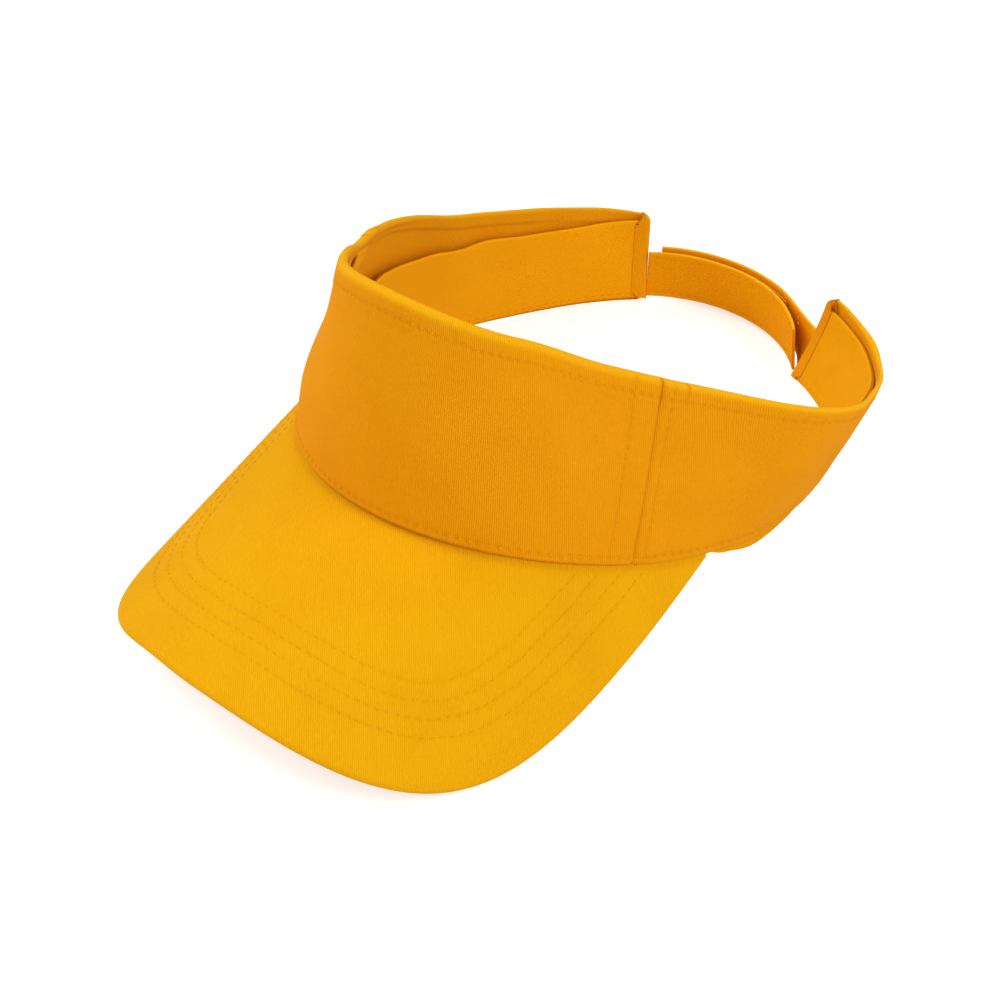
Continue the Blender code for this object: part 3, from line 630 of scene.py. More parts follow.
def new_group(name, inputs, outputs):
    group = bpy.data.node_groups.new(name, "ShaderNodeTree")
    for label, kind, value in inputs:
        socket = group.interface.new_socket(name=label, in_out="INPUT", socket_type=kind)
        if value is not None:
            socket.default_value = value
    for label, kind in outputs:
        group.interface.new_socket(name=label, in_out="OUTPUT", socket_type=kind)
    return group, group.nodes.new("NodeGroupInput"), group.nodes.new("NodeGroupOutput")


# %% The twill
def build_twill():
    """Ridge = 1 - (2 |fract(x / pitch) - 1/2|)^2; floats shift by half from ridge to ridge."""
    group, inside, out = new_group(
        "twill_weave",
        [("Vector", "NodeSocketVector", None), ("Pitch", "NodeSocketFloat", 0.00075),
         ("Angle", "NodeSocketFloat", 0.8)],
        [("Height", "NodeSocketFloat"), ("Shade", "NodeSocketFloat")])
    m = maths(group)
    vector, pitch, angle = (inside.outputs[label] for label in ("Vector", "Pitch", "Angle"))
    turn = node(group, "ShaderNodeVectorRotate", {"rotation_type": "Z_AXIS"},
                Vector=vector, Angle=angle)
    noise = node(group, "ShaderNodeTexNoise", Vector=vector, Scale=420.0, Detail=2.0).outputs["Fac"]
    apart = node(group, "ShaderNodeSeparateXYZ", Vector=turn.outputs[0])
    wobble = m("MULTIPLY", m("SUBTRACT", noise, 0.5), 0.35)
    across = m("ADD", m("DIVIDE", apart.outputs["Y"], pitch), wobble)
    bent = m("ABSOLUTE", m("SUBTRACT", m("FRACT", across), 0.5))
    ridge = m("SUBTRACT", 1.0, m("POWER", m("MULTIPLY", bent, 2.0), 2.0))
    step = m("MULTIPLY", m("FLOOR", across), 0.5)
    along = m("ADD", m("DIVIDE", apart.outputs["X"], m("MULTIPLY", pitch, 1.9)), step)
    knot = m("ABSOLUTE", m("SUBTRACT", m("FRACT", along), 0.5))
    yarn = m("SUBTRACT", 1.0, m("MULTIPLY", m("POWER", m("MULTIPLY", knot, 2.0), 4.0), 0.6))
    height = m("MULTIPLY", ridge, yarn)
    group.links.new(height, out.inputs["Height"])
    # Painted shade: the colour darkens between the ridges and between the floats.
    group.links.new(m("SUBTRACT", 1.0, height), out.inputs["Shade"])
    return group


TWILL = build_twill()


def build_mottle():
    """Slow and quick noise added: dye takes a little unevenly, and yarns are thick and thin."""
    group, inside, out = new_group(
        "dye_mottle", [("Vector", "NodeSocketVector", None)], [("Mask", "NodeSocketFloat")])
    m, vector = maths(group), inside.outputs[0]
    slow = node(group, "ShaderNodeTexNoise", Vector=vector, Scale=45.0, Detail=3.0).outputs["Fac"]
    quick = node(group, "ShaderNodeTexNoise", Vector=vector, Scale=900.0, Detail=2.0).outputs["Fac"]
    mask = m("ADD", m("MULTIPLY", slow, 0.6), m("MULTIPLY", quick, 0.4))
    group.links.new(mask, out.inputs["Mask"])
    return group


MOTTLE = build_mottle()
print("groups:", [g.name for g in bpy.data.node_groups])

# %% Cloth material
PAINTED_HIGHLIGHT = (1.0, 0.57, 0.007)             # painted highlight: rim fold, strap edges, inner faces
SPECULAR, SHEEN = 0.03, 0.008


def cloth(name, base, deep, angle, pitch=0.0006, weave=0.28, relief=0.00014, shading_weight=0.5):
    """Base to deep colour by painted shade in the weave and at seams, and mottle; weave as a bump.

    Where the painted shading is negative it is a painted highlight, mixed with its pale colour.
    """
    material, tree, shader = new_material(name)
    m = maths(tree)
    uv = node(tree, "ShaderNodeUVMap", {"uv_map": "cloth"}).outputs[0]
    twill = node(tree, "ShaderNodeGroup", {"node_tree": TWILL}, Vector=uv, Pitch=pitch,
                 Angle=float(np.radians(angle)))
    mottle = node(tree, "ShaderNodeGroup", {"node_tree": MOTTLE}, Vector=uv).outputs["Mask"]
    # Painted shade where positive: seams, holes, creases; painted highlight where negative.
    painted_shading = node(tree, "ShaderNodeAttribute", {"attribute_name": "painted_shading"}).outputs["Fac"]
    amount = m("ADD", m("MULTIPLY", twill.outputs["Shade"], weave), m("MULTIPLY", painted_shading, shading_weight))
    amount = m("ADD", amount, m("MULTIPLY", m("SUBTRACT", mottle, 0.5), 0.8))
    amount = node(tree, "ShaderNodeClamp", Value=amount).outputs[0]
    colour = mix_colours(tree, amount, (*base, 1), (*deep, 1))
    # A painted highlight where the painted shading is below zero.
    painted_highlight_part = node(tree, "ShaderNodeClamp", Value=m("MULTIPLY", painted_shading, -1.0)).outputs[0]
    colour = mix_colours(tree, painted_highlight_part, colour, (*PAINTED_HIGHLIGHT, 1))
    tree.links.new(colour, shader.inputs["Base Color"])
    rough = m("ADD", m("MULTIPLY", mottle, 0.12), 0.78)
    tree.links.new(rough, shader.inputs["Roughness"])
    raised = m("ADD", twill.outputs["Height"], m("MULTIPLY", mottle, 0.5))
    bump(tree, raised, 1.0, relief, shader)
    shader.inputs["Specular IOR Level"].default_value = SPECULAR
    shader.inputs["Sheen Weight"].default_value = SHEEN
    shader.inputs["Sheen Roughness"].default_value = 0.5
    return material


BASE, DEEP = (0.89, 0.34, 0.003), (0.66, 0.19, 0.001)
# The inside colour is a paler copy of the same cloth: painted light on inner faces and straps.
INSIDE, INSIDE_DEEP = (1.0, 0.42, 0.002), (0.90, 0.30, 0.001)
BAND_CLOTH = cloth("band_twill", BASE, DEEP, -88)
# The brim's colour is a yellower copy of the band's cloth: painted light on its upward face.
BRIM_CLOTH = cloth("brim_twill", (0.89, 0.425, 0.003), (0.68, 0.255, 0.001), -51, 0.00056, 0.2)
INNER_CLOTH = cloth("inner_twill", INSIDE, INSIDE_DEEP, -60)
STRAP_CLOTH = cloth("strap_twill", INSIDE, INSIDE_DEEP, -60)
END_CLOTH = cloth("end_twill", (0.96, 0.39, 0.003), (0.76, 0.24, 0.001), -88, weave=0.1)
# The deep colour is mostly the painted shade at each stitch's ends.
THREAD = cloth("sewing_thread", (0.93, 0.43, 0.006), (0.34, 0.09, 0.001), 55, pitch=0.0003,
               relief=0.00004, shading_weight=0.9)
print("materials:", [m.name for m in (BAND_CLOTH, BRIM_CLOTH, INNER_CLOTH, STRAP_CLOTH, THREAD)])


# %% [markdown]
# ## What moves
# When the strap is let out, each back half of the band swings open. Its cloth bends between
# the visor and the bound end; these pieces have their place baked in and are attached to no body.

# %% Finishes and bodies
WING = {LEFT: "left_wing", RIGHT: "right_wing"}
SIDE_NAME = {LEFT: "left", RIGHT: "right"}


def dress(piece, material, node_name=None):
    """Gives it its finish, and hides the plain solid that it stands for, if it is given one."""
    piece.data.materials.clear()
    piece.data.materials.append(material)
    if node_name:
        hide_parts(node_name)


def move_with(piece, side, body="visor"):
    """A piece of a side has its place baked into its mesh, and any other rides on one body."""
    if side:
        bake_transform(piece)
    else:
        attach(piece, body)


# %% [markdown]
# ## The outer panels
# The front panel is one tall piece of twill between the side seams; a side panel runs from each
# seam to the bound end. Their upper edge is a turned hem.

# %% The front panel
HALF_GAP = 0.03 * SHARE
# The rim rises before and behind the right side seam: place, width and millimetres.
RIM_RISES = ((-0.43, 0.03, 1.2), (-0.28, 0.045, 0.9))


def panel_top(place):
    risen = sum(rise * hump(place - at, wide) for at, wide, rise in RIM_RISES)
    return 1 + risen / wall_height(place)


panel, size, area = band_layer(
    "front_panel_cloth", lambda r: -seam_place(r) + HALF_GAP, lambda r: seam_place(r) - HALF_GAP,
    always(0.0), panel_top, always(0.0), 1.0, front_relief, 300, 84, hem_bulk)
dress(panel, BAND_CLOTH, "front_panel")
move_with(panel, None)
print("front panel:", [round(s * 1000) for s in size], "mm,", len(panel.data.polygons), "faces")

# %% The side panels
DROOP, DRAWN_UP = 2.7, 0.8


def panel_foot(place):
    """The left panel's lower edge droops just behind the brim, then is drawn up a little."""
    droop = ramp(place, BRIM_END + 0.004, BRIM_END + 0.035) * (1 - ramp(place, 0.53, 0.64))
    return (DRAWN_UP * hump(place - 0.70, 0.06) - DROOP * droop) / wall_height(place)


def side_panel(side):
    name = f"side_panel_{SIDE_NAME[side]}"
    near = lambda r: side * (seam_place(r) + HALF_GAP)
    far = lambda r: side * (END_SHARE + 0.2 * SHARE) + 0 * r
    start, end = (near, far) if side == LEFT else (far, near)
    panel, size, area = band_layer(f"{name}_cloth", start, end, panel_foot, panel_top,
                                   always(0.0), 1.0, side_relief, 240, 72, hem_bulk)
    dress(panel, BAND_CLOTH, name)
    move_with(panel, side)
    return size


for side in (LEFT, RIGHT):
    print("side panel:", [round(s * 1000) for s in side_panel(side)], "mm")

# %% Stitches of the panels
def seam_line(side, beside, count=160):
    """The row beside a side seam: the seam's place moved along the band by beside millimetres."""
    rise = np.linspace(0.03, 0.985, count)
    place = side * (seam_place(rise) + beside * SHARE)
    return place, rise * wall_height(place)


def sew_on_wall(name, place, up, relief, side=None):
    piece = sew(name, *wall_line(place, up, relief))
    dress(piece, THREAD)
    move_with(piece, side)


edge = np.linspace(-1, 1, 900)
places = edge * (seam_place(0.93) - 1.0 * SHARE)
sew_on_wall("hem_thread_front", places, wall_height(places) - HEM, front_relief)
places = edge * (seam_place(0.05) - 1.0 * SHARE)
sew_on_wall("foot_thread_front", places, FOOT_ROW + 0 * edge, front_relief)
for side in (LEFT, RIGHT):
    name = SIDE_NAME[side]
    places = side * np.linspace(seam_place(0.93) + 1.0 * SHARE, 1 - END_ROW * SHARE, 700)
    sew_on_wall(f"hem_thread_{name}", places, wall_height(places) - HEM, side_relief, side)
    places = side * np.linspace(seam_place(0.05) + 1.0 * SHARE, 1 - END_ROW * SHARE, 700)
    up = np.where(np.abs(places) < BRIM_END + 0.015, FOOT_ROW, FREE_FOOT_ROW)
    sew_on_wall(f"foot_thread_{name}", places, up, side_relief, side)
    sew_on_wall(f"seam_thread_before_{name}", *seam_line(side, -ROW_BEFORE), front_relief)
    sew_on_wall(f"seam_thread_behind_{name}", *seam_line(side, ROW_BEHIND), side_relief, side)
    rise = np.linspace(0.06, 0.94, 120)
    places = side * (1 - END_ROW * SHARE) + 0 * rise
    sew_on_wall(f"end_thread_{name}", places, rise * wall_height(places), side_relief, side)
print("stitches:", sum(SEWN))

# %% [markdown]
# ## Inside the band
# Behind the front panel is a stiff open-weave backing. The side seams and the brim seam are
# taped, and the sweatband, a folded strip of twill, is sewn in along the foot. Its free upper
# edge stands off the wall.

# %% Backing and tapes
BACKING = cloth("backing", INSIDE, INSIDE_DEEP, 0, pitch=0.0011, weave=0.45, relief=0.0002)
MARGIN = 9.0                           # the backing stops this far inside the panel's edges
BEHIND_SHELL = 1.3

backing, size, area = band_layer(
    "front_backing_cloth",
    lambda r: -seam_place(r) + MARGIN * SHARE, lambda r: seam_place(r) - MARGIN * SHARE,
    lambda p: MARGIN / wall_height(p), lambda p: 1 - MARGIN / wall_height(p),
    always(BEHIND_SHELL), 0.8, unsewn, 90, 26)
dress(backing, BACKING, "front_stiffener")
move_with(backing, None)


def tape(name, node_name, start, end, low, high, columns, rows):
    piece, size, area = band_layer(
        name, start, end, low, high, always(BEHIND_SHELL), 0.6, unsewn, columns, rows)
    dress(piece, INNER_CLOTH, node_name)
    move_with(piece, None)


for side in (LEFT, RIGHT):
    tape(f"seam_tape_{SIDE_NAME[side]}_cloth", f"side_seam_tape_{SIDE_NAME[side]}",
         lambda r, s=side: s * seam_place(r) - 6 * SHARE,
         lambda r, s=side: s * seam_place(r) + 6 * SHARE,
         lambda p: 10.0 / wall_height(p), lambda p: 1 - 5.0 / wall_height(p), 14, 24)
tape("brim_seam_tape_cloth", "brim_seam_tape", always(-BRIM_END), always(BRIM_END),
     always(0.0), lambda p: 8.0 / wall_height(p), 200, 8)

# %% The sweatband
SPLIT, TOP_MARGIN = 0.36, 1.6
SWEATBAND_AT = {RIGHT: (0.0, 0.35, 0.50, 0.58, 0.65, 0.72, 0.80, 0.90, 1.0), LEFT: HEIGHT_AT}
SWEATBAND = {RIGHT: (32.0, 32.0, 33.4, 36.5, 39.9, 39.6, 36.6, 34.7, 34.2),
             LEFT: (32.0, 32.0, 32.0, 31.0, 29.0, 33.3, 35.4)}
FLARE = {RIGHT: 2.0, LEFT: 1.0, 0: 1.5}  # how far the free edge stands off: 0 is the front
BEHIND_BACKING, NEAR_SHELL, SWEATBAND_THICK = 2.4, 1.6, 1.4
RAISED_FOOT = 2.0                      # its lower edge is sewn on this far above the shell's


def sweatband_top(place):
    height, share = wall_height(place), np.abs(place)
    right, left = (through(SWEATBAND_AT[side], SWEATBAND[side], share) for side in (RIGHT, LEFT))
    own = np.where(place < 0, right, left)
    return np.minimum(own, height - TOP_MARGIN) / height


def sweatband_foot(place):
    return RAISED_FOOT * ramp(np.abs(place), 0.45, 0.6) / wall_height(place)


def sweatband_depth(place, up):
    """Behind the backing in front, near the shell at the sides, the free edge standing off.

    Soft cloth buckles where the band is bent: a few slanting creases near each end.
    """
    share = np.abs(place)
    base = BEHIND_BACKING + (NEAR_SHELL - BEHIND_BACKING) * ease((share - BRIM_END) / 0.1)
    most = np.where(place < 0, FLARE[RIGHT], FLARE[LEFT])
    flare = FLARE[0] + (most - FLARE[0]) * ramp(share, 0.2, 0.55)
    behind, way = (1 - share) * HALF_LENGTH, up * 34.0
    slanting = (hump(behind - 10 - 0.5 * way, 2.6) * hump(way - 18, 9)
                + 0.8 * hump(behind - 24 + 0.7 * way, 3.0) * hump(way - 13, 8))
    long_ones = 0.5 * np.sin(way / 2.6 + 0.06 * behind) * hump(behind - 60, 45) * hump(way - 17, 11)
    creases = 0.35 * slanting * (place > 0) + 0.22 * long_ones
    return base + flare * (1 - ramp(share, 0.5, 0.8)) * up + creases


def sweatband(where, start, end, side):
    piece, size, area = band_layer(
        f"sweatband_{where}_cloth", always(start), always(end), sweatband_foot, sweatband_top,
        sweatband_depth, SWEATBAND_THICK, unsewn, 150, 36)
    dress(piece, INNER_CLOTH, f"sweatband_{where}")
    move_with(piece, side)
    print("sweatband", where, [round(s * 1000) for s in size], "mm")


sweatband("front", -SPLIT + HALF_GAP, SPLIT - HALF_GAP, None)
for side in (LEFT, RIGHT):
    near, far = side * (SPLIT + HALF_GAP), side * (END_SHARE + 0.2 * SHARE)
    sweatband(SIDE_NAME[side], min(near, far), max(near, far), side)


def sew_inside(name, place, up_share, side):
    """Stitches on the sweatband's inner face: the same line, seen from the other side."""
    foot, top = sweatband_foot(place), sweatband_top(place)
    rise = foot + (top - foot) * up_share
    depth = sweatband_depth(place, up_share) + SWEATBAND_THICK
    line = wall(place, rise, depth - THREAD_SINK)
    out = wall(place, rise, depth + 1.0) - wall(place, rise, depth)
    piece = sew(name, line, out)
    dress(piece, THREAD)
    move_with(piece, side)


def strip_width(place):
    return wall_height(place) * (sweatband_top(place) - sweatband_foot(place))


for side in (LEFT, RIGHT):
    places = side * np.linspace(SPLIT + 0.01, 1 - END_ROW * SHARE, 500)
    sew_inside(f"sweatband_foot_thread_{SIDE_NAME[side]}", places, 2.2 / strip_width(places), side)
    up = np.linspace(0.06, 0.94, 120)
    places = side * (1 - (END_ROW - 0.8 * up) * SHARE)
    sew_inside(f"sweatband_end_thread_{SIDE_NAME[side]}", places, up, side)
places = np.linspace(-SPLIT + 0.01, SPLIT - 0.01, 700)
sew_inside("sweatband_foot_thread_front", places, 2.2 / strip_width(places), None)

# %% [markdown]
# ## The brim
# Two covers and a flexible board. The upper cover turns round the board's edge; four rows of
# stitches run parallel to that edge, 14, 19, 24 and 29 mm in. The distance to the edge is what
# every seam on the brim depends on, so it is worked out once for the whole grid.

# %% Distances on the flat brim
BRIM_ROWS_IN = (14.1, 19.0, 23.7, 28.6)
EDGE_LINE = np.stack(brim_outline(0.0, 800), -1)
FOOT_PLACES = np.linspace(-BRIM_END - 0.02, BRIM_END + 0.02, 500)
FOOT_LINE = np.stack(brim_flat(*np.moveaxis(wall(FOOT_PLACES, 0.0, 0.0)[:, :2], -1, 0)), -1)


def nearest(line, s, v):
    """Least distance from each point to a line of many points, and which point that is."""
    flat = np.stack([s.ravel(), v.ravel()], -1)
    found = [np.square(part[:, None] - line[None]).sum(-1) for part in np.array_split(flat, 40)]
    which = np.concatenate([f.argmin(1) for f in found])
    away = np.sqrt(np.concatenate([f.min(1) for f in found]))
    return away.reshape(s.shape), which.reshape(s.shape)


def brim_row(inset):
    """The outline moved inwards by inset along its own normal, as far as the band.

    A hand-guided row wanders by about 0.15 mm.
    """
    step = np.gradient(EDGE_LINE, axis=0)
    normal = np.stack([step[:, 1], -step[:, 0]], -1) / np.linalg.norm(step, axis=1)[:, None]
    walked = length_along(EDGE_LINE)
    wander = 0.09 * np.sin(walked / 3.3 + inset) + 0.07 * np.sin(walked / 1.9 + 2 * inset)
    line = EDGE_LINE + normal * (inset + wander)[:, None]
    away, _ = nearest(EDGE_LINE, line[:, 0], line[:, 1])
    foot_v = np.interp(line[:, 0], FOOT_LINE[:, 0], FOOT_LINE[:, 1])
    return line[(away > inset - 0.35) & (line[:, 1] > foot_v + 1.2)]


ROW_REACH = 5                          # mm beside a row within which it draws the cloth


def brim_relief(s, v):
    """Four sewn rows, quilted between, and the tuck where the band stands on the cover.

    Beside a row the way along it is the row's own length, fitted to whole stitches, so that
    the grooves deepen where the needle went in.
    """
    inset, _ = nearest(EDGE_LINE, s, v)
    foot, _ = nearest(FOOT_LINE, s, v)
    # Painted shade in the tuck where the band stands on the cover.
    raised, painted_shading = -0.25 * hump(foot, 1.6), 0.6 * hump(foot, 1.2)
    for row in BRIM_ROWS_IN:
        line = brim_row(row)
        close = np.abs(inset - row) < ROW_REACH
        off, which = nearest(line, s[close], v[close])
        walked = length_along(line)
        along = walked[which] * int(walked[-1] / STITCH_PITCH) * STITCH_PITCH / walked[-1]
        across = np.sign(inset[close] - row) * off
        uneven = 0.6 + 0.4 * np.sin(along / 13.0 + row)
        raised[close] += pucker(across, along, 0.28, 0.22, 1.9) * uneven
        # Painted shade along each row, strongest at the needle holes.
        painted_shading[close] = np.maximum(painted_shading[close], 0.35 * uneven * seam_shade(across, along))
    return raised, painted_shading


def there_and_back(first, second):
    """Out along one row of points and back along the other: a closed section."""
    return np.concatenate([first, second[:, ::-1]], 1)


def brim_grid(inset, columns, rows):
    """Straight lines in the flat from the rear edge, under the band, to the outline."""
    places = np.linspace(-BRIM_END, BRIM_END, columns)
    inside = wall(places, 0.0, ALLOWANCE)
    s0, v0 = brim_flat(inside[:, 0], inside[:, 1])
    s1, v1 = brim_outline(inset, columns, True)
    t = np.linspace(0, 1, rows)[None, :]
    return s0[:, None] + (s1 - s0)[:, None] * t, v0[:, None] + (v1 - v0)[:, None] * t


# %% The upper cover
COVER, BOARD, UNDER, ROUND = 0.7, 1.4, 0.5, 1.6
INNER_INSET = 1.65                     # the board's and the under cover's, inside the outline
UNDER_RELIEF = 0.6                     # the rows show this much of their depth underneath


def upper_cover(columns=400, rows=110):
    """Out along the top, round a half circle of radius 1.6, and back along the inside."""
    s, v = brim_grid(ROUND, columns, rows)
    raised, painted_shading = brim_relief(s, v)
    turn = np.radians(np.linspace(0, 180, 13)[1:-1])
    rings = [(ROUND * (1 - np.sin(a)), BRIM_THICK / 2 - BRIM_THICK / 2 * np.cos(a)) for a in turn]
    rings += [(1.3, BRIM_THICK - 0.02), (1.3, COVER + 0.1)]
    edge = [brim_outline(inset, columns, True) for inset, _ in rings]
    es, ev = (np.stack([e[i] for e in edge], 1) for i in (0, 1))
    ed = np.repeat(np.array([d for _, d in rings])[None], columns, 0)
    bs, bv = brim_grid(1.7, columns, 26)
    parts = (s, es, bs), (v, ev, bv), (-raised, ed, COVER + 0 * bs), (painted_shading, 0 * es, 0 * bs)
    return [there_and_back(np.concatenate([top, turned], 1), back) for top, turned, back in parts]


def brim_piece(name, node_name, material, section_points):
    """Sections across the brim, each a closed loop in (s, v, depth), with their wear."""
    s, v, depth, painted_shading = section_points
    piece = capped_grid(name, brim_point(s, v, depth), np.stack([s, v], -1), painted_shading.ravel())
    dress(piece, material, node_name)
    move_with(piece, None)
    return piece


cover = brim_piece("brim_top_cloth", "brim_top_cover", BRIM_CLOTH, upper_cover())
print("upper cover faces:", len(cover.data.polygons))

# %% The under cover
def under_cover(columns=260, rows=80):
    """A sheet 0.5 mm thick whose rear edge is turned up to the upper cover, behind the board."""
    s, v = brim_grid(INNER_INSET, columns, rows)
    raised, painted_shading = brim_relief(s, v)
    outer = BRIM_THICK + np.minimum(raised, 0.0) * UNDER_RELIEF
    from_rear = np.hypot(s - s[:, :1], v - v[:, :1])
    turned_up = (BRIM_THICK - UNDER - COVER - 0.08) * (1 - ease((from_rear - 1.0) / 1.2))
    inner = BRIM_THICK - UNDER - turned_up
    pairs = (s, s), (v, v), (outer, inner), (painted_shading, 0 * s)
    return [there_and_back(first, second) for first, second in pairs]


under = brim_piece("brim_under_cloth", "brim_under_cover", BRIM_CLOTH, under_cover())

# %% Stitches of the brim
def sew_brim(name, inset, underneath):
    s, v = brim_row(inset).T
    raised, _ = brim_relief(s, v)
    depth = BRIM_THICK + np.minimum(raised, 0) * UNDER_RELIEF if underneath else -raised
    sign = -1 if underneath else 1
    points = brim_point(s, v, depth + THREAD_SINK * sign)
    normal = (brim_point(s, v, -1.0) - brim_point(s, v, 0.0)) * sign
    piece = sew(name, points, normal)
    dress(piece, THREAD)
    move_with(piece, None)


for i, row in enumerate(BRIM_ROWS_IN):
    sew_brim(f"brim_thread_{i + 1}", row, False)
    sew_brim(f"brim_under_thread_{i + 1}", row, True)
print("brim row lengths (mm):", [round(float(length_along(brim_row(r))[-1])) for r in BRIM_ROWS_IN])

# %% [markdown]
# The board inside the brim never shows, but the part keeps it. It is a flexible, slightly
# grained plastic sheet, cut on the same lines as the covers.

# %% The board's finish
def board_finish():
    material, tree, shader = new_material("board_sheet")
    place = node(tree, "ShaderNodeTexCoord").outputs["Object"]
    grain = node(tree, "ShaderNodeTexNoise", Vector=place, Scale=900.0, Detail=3.0).outputs["Fac"]
    colour = mix_colours(tree, grain, (0.88, 0.88, 0.84, 1), (0.78, 0.78, 0.74, 1))
    tree.links.new(colour, shader.inputs["Base Color"])
    bump(tree, grain, 0.3, 0.0001, shader)
    shader.inputs["Roughness"].default_value = 0.5
    return material


BOARD_SHORTER = 3.5                    # mm at the rear edge, where the under cover turns up


def brim_board(columns=120, rows=24):
    """The covers' grid, inside the outline and shorter behind."""
    s, v = brim_grid(INNER_INSET, columns, rows)
    whole = np.hypot(s[:, -1:] - s[:, :1], v[:, -1:] - v[:, :1])
    from_rear = np.minimum(BOARD_SHORTER / whole, 0.5)
    s, v = s + (s[:, -1:] - s) * from_rear, v + (v[:, -1:] - v) * from_rear
    top = np.full_like(s, COVER + 0.3)
    pairs = (s, s), (v, v), (top, top + BOARD), (0 * s, 0 * s)
    return [there_and_back(first, second) for first, second in pairs]


brim_piece("brim_board_sheet", "brim_board", board_finish(), brim_board())

# %% [markdown]
# ## The bound ends
# At each end of the band the cloth is turned over all the layers and stitched down. The end is
# a small slab with a soft, rounded section.

# %% Bound ends
END_DEPTH, TONGUE, CORNER = 3.15, 3.0, 2.2
END_IN = 3.06                          # the outer face reaches this far in from the end


def bound_end(side, rows=46):
    """A section in (way in from the end, depth), carried up the end.

    Outer face, half an ellipse round the end, inner face with a flap that reaches past the
    stitches, and a thin tongue that reaches in between shell and sweatband, as turned cloth
    does. The top corner is rounded off by r - sqrt(r^2 - (z - (h - r))^2).
    """
    a = np.radians(np.linspace(-90, 90, 15))
    flap = END_ROW - 0.1
    way = np.concatenate([
        [END_IN, 2.4, 1.8], 1.2 - 1.2 * np.cos(a), [1.8, END_IN, 4.4, flap, flap, END_IN],
        [END_IN, END_IN + TONGUE, END_IN + TONGUE, END_IN]])
    deep = np.concatenate([
        [0, 0, 0], END_DEPTH / 2 * (1 + np.sin(a)),
        END_DEPTH + np.array([0.04, 0.1, 0.1, 0.08, -0.05, -0.05]), [1.46, 1.42, 1.18, 1.14]])
    height = float(wall_height(np.array([side * 1.0]))[0])
    t = np.linspace(0.25 / height, 1 - 0.05 / height, rows)[:, None]
    over = np.clip(t * height - (height - CORNER), 0, CORNER * 0.98)
    shift = (CORNER - np.sqrt(CORNER**2 - over**2)) * np.clip((END_IN - way[None]) / END_IN, 0, 1)
    rise = np.where(way[None] > END_IN, np.clip(t, 0.06, 0.9), t) + 0 * way[None]
    lifted = np.clip(1 - t * height / 8, 0, 1) ** 2 * RAISED_FOOT * ease((deep[None] - 1.0) / 1.5)
    rise = rise + lifted / height
    place = side * (1 - (way[None] + shift) * SHARE)
    raised = hem_relief(place, rise * height, height) * np.clip(1 - deep[None] / 1.2, 0, 1)
    points = wall(place, rise, deep[None] - raised)
    around = length_along(np.stack([way, deep], -1))
    uv = np.stack(np.broadcast_arrays(HALF_LENGTH - around[None], rise * height), -1)
    piece = capped_grid(f"{SIDE_NAME[side]}_end_cloth", points, uv)
    dress(piece, END_CLOTH, f"{SIDE_NAME[side]}_end_binding")
    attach(piece, WING[side])


for side in (LEFT, RIGHT):
    bound_end(side)

# %% [markdown]
# ## The closure
# The right end carries a strap with a loop tape on its outer face; the left end carries a strap
# with a hook tape on its inner face. Both lie on circles about one point, so that they slide
# along each other when the size is changed.

# %% The straps' circles
STRAP_FOOT, STRAP_WIDTH, STRAP, STRAP_SLOPE = 1.7, 19.5, 1.0, 0.12
TAPE, RUN, TAPE_GAP, TAPE_MARGIN = 0.6, 0.8, 0.3, 2.0
BULGE, BULGE_BACK = 0.6, 0.2           # mm outwards near the left end, and inwards before it
LEAD, LEAD_PULL = 11.0, 0.6            # the outer strap's curve on to its circle
LEAN_FADE, STRAP_ROW = 12.0, 2.2       # mm from a slanting end; the stitches from the edges
THREAD_LOW = 0.14                      # how deep a strap's thread lies


def plan_of_end(side, beyond, depth):
    """A place just past one end of the band, and the way out of the band there."""
    x, y = wall(side * 1.0, 0.0, 0.0)[:2]
    heading = PATHS[side][3][-1]
    along, out = side * np.cos(heading), side * np.sin(heading)
    along, out = np.array([along, np.sin(heading)]), np.array([out, -np.cos(heading)])
    return np.array([x, y]) + along * beyond - out * depth, out


def strap_arc():
    """The circle through both ends whose radius at the right end is the band's own normal."""
    start, out = plan_of_end(RIGHT, 0.3, 2.1)
    end, _ = plan_of_end(LEFT, 0.3, 2.1)
    chord = end - start
    radius = -chord.dot(chord) / (2 * chord.dot(out))
    centre = start - out * radius
    angle = lambda p: np.arctan2(p[1] - centre[1], p[0] - centre[0])
    return centre, radius, angle(start), angle(end)


ARC_CENTRE, INNER_RADIUS, ARC_RIGHT, ARC_LEFT = strap_arc()
OUTER_RADIUS = INNER_RADIUS + STRAP + 2 * (TAPE_GAP + TAPE) + RUN


def on_arc(radius, angles):
    """The circle, carried out a little near the left end, where the doubled strap is bent."""
    behind = (angles - ARC_LEFT) * INNER_RADIUS
    radius = radius + BULGE * hump(behind - 16, 16) - BULGE_BACK * hump(behind - 50, 16)
    return ARC_CENTRE + (radius * np.stack([np.cos(angles), np.sin(angles)])).T


def end_lean(side):
    """How far the band's slanting end stands from its own foot, at each height of a strap."""
    height = float(wall_height(np.array([side * 1.0]))[0])
    foot = wall(side * 1.0, 0.0, 0.9)[:2]
    return lambda z: wall(side * 1.0 + 0 * z, z / height, 0.9)[..., :2] - foot


def along_plan(plan):
    """The way walked along a strap's line in plan, its steps, and the way out of it."""
    step = np.gradient(plan, axis=0)
    step /= np.linalg.norm(step, axis=1)[:, None]
    away = np.stack([step[:, 1], -step[:, 0]], -1)
    away *= np.sign((away * (plan - ARC_CENTRE)).sum(-1).mean())
    return length_along(plan), step, away


print("strap radii (mm):", round(INNER_RADIUS, 1), round(OUTER_RADIUS, 1))


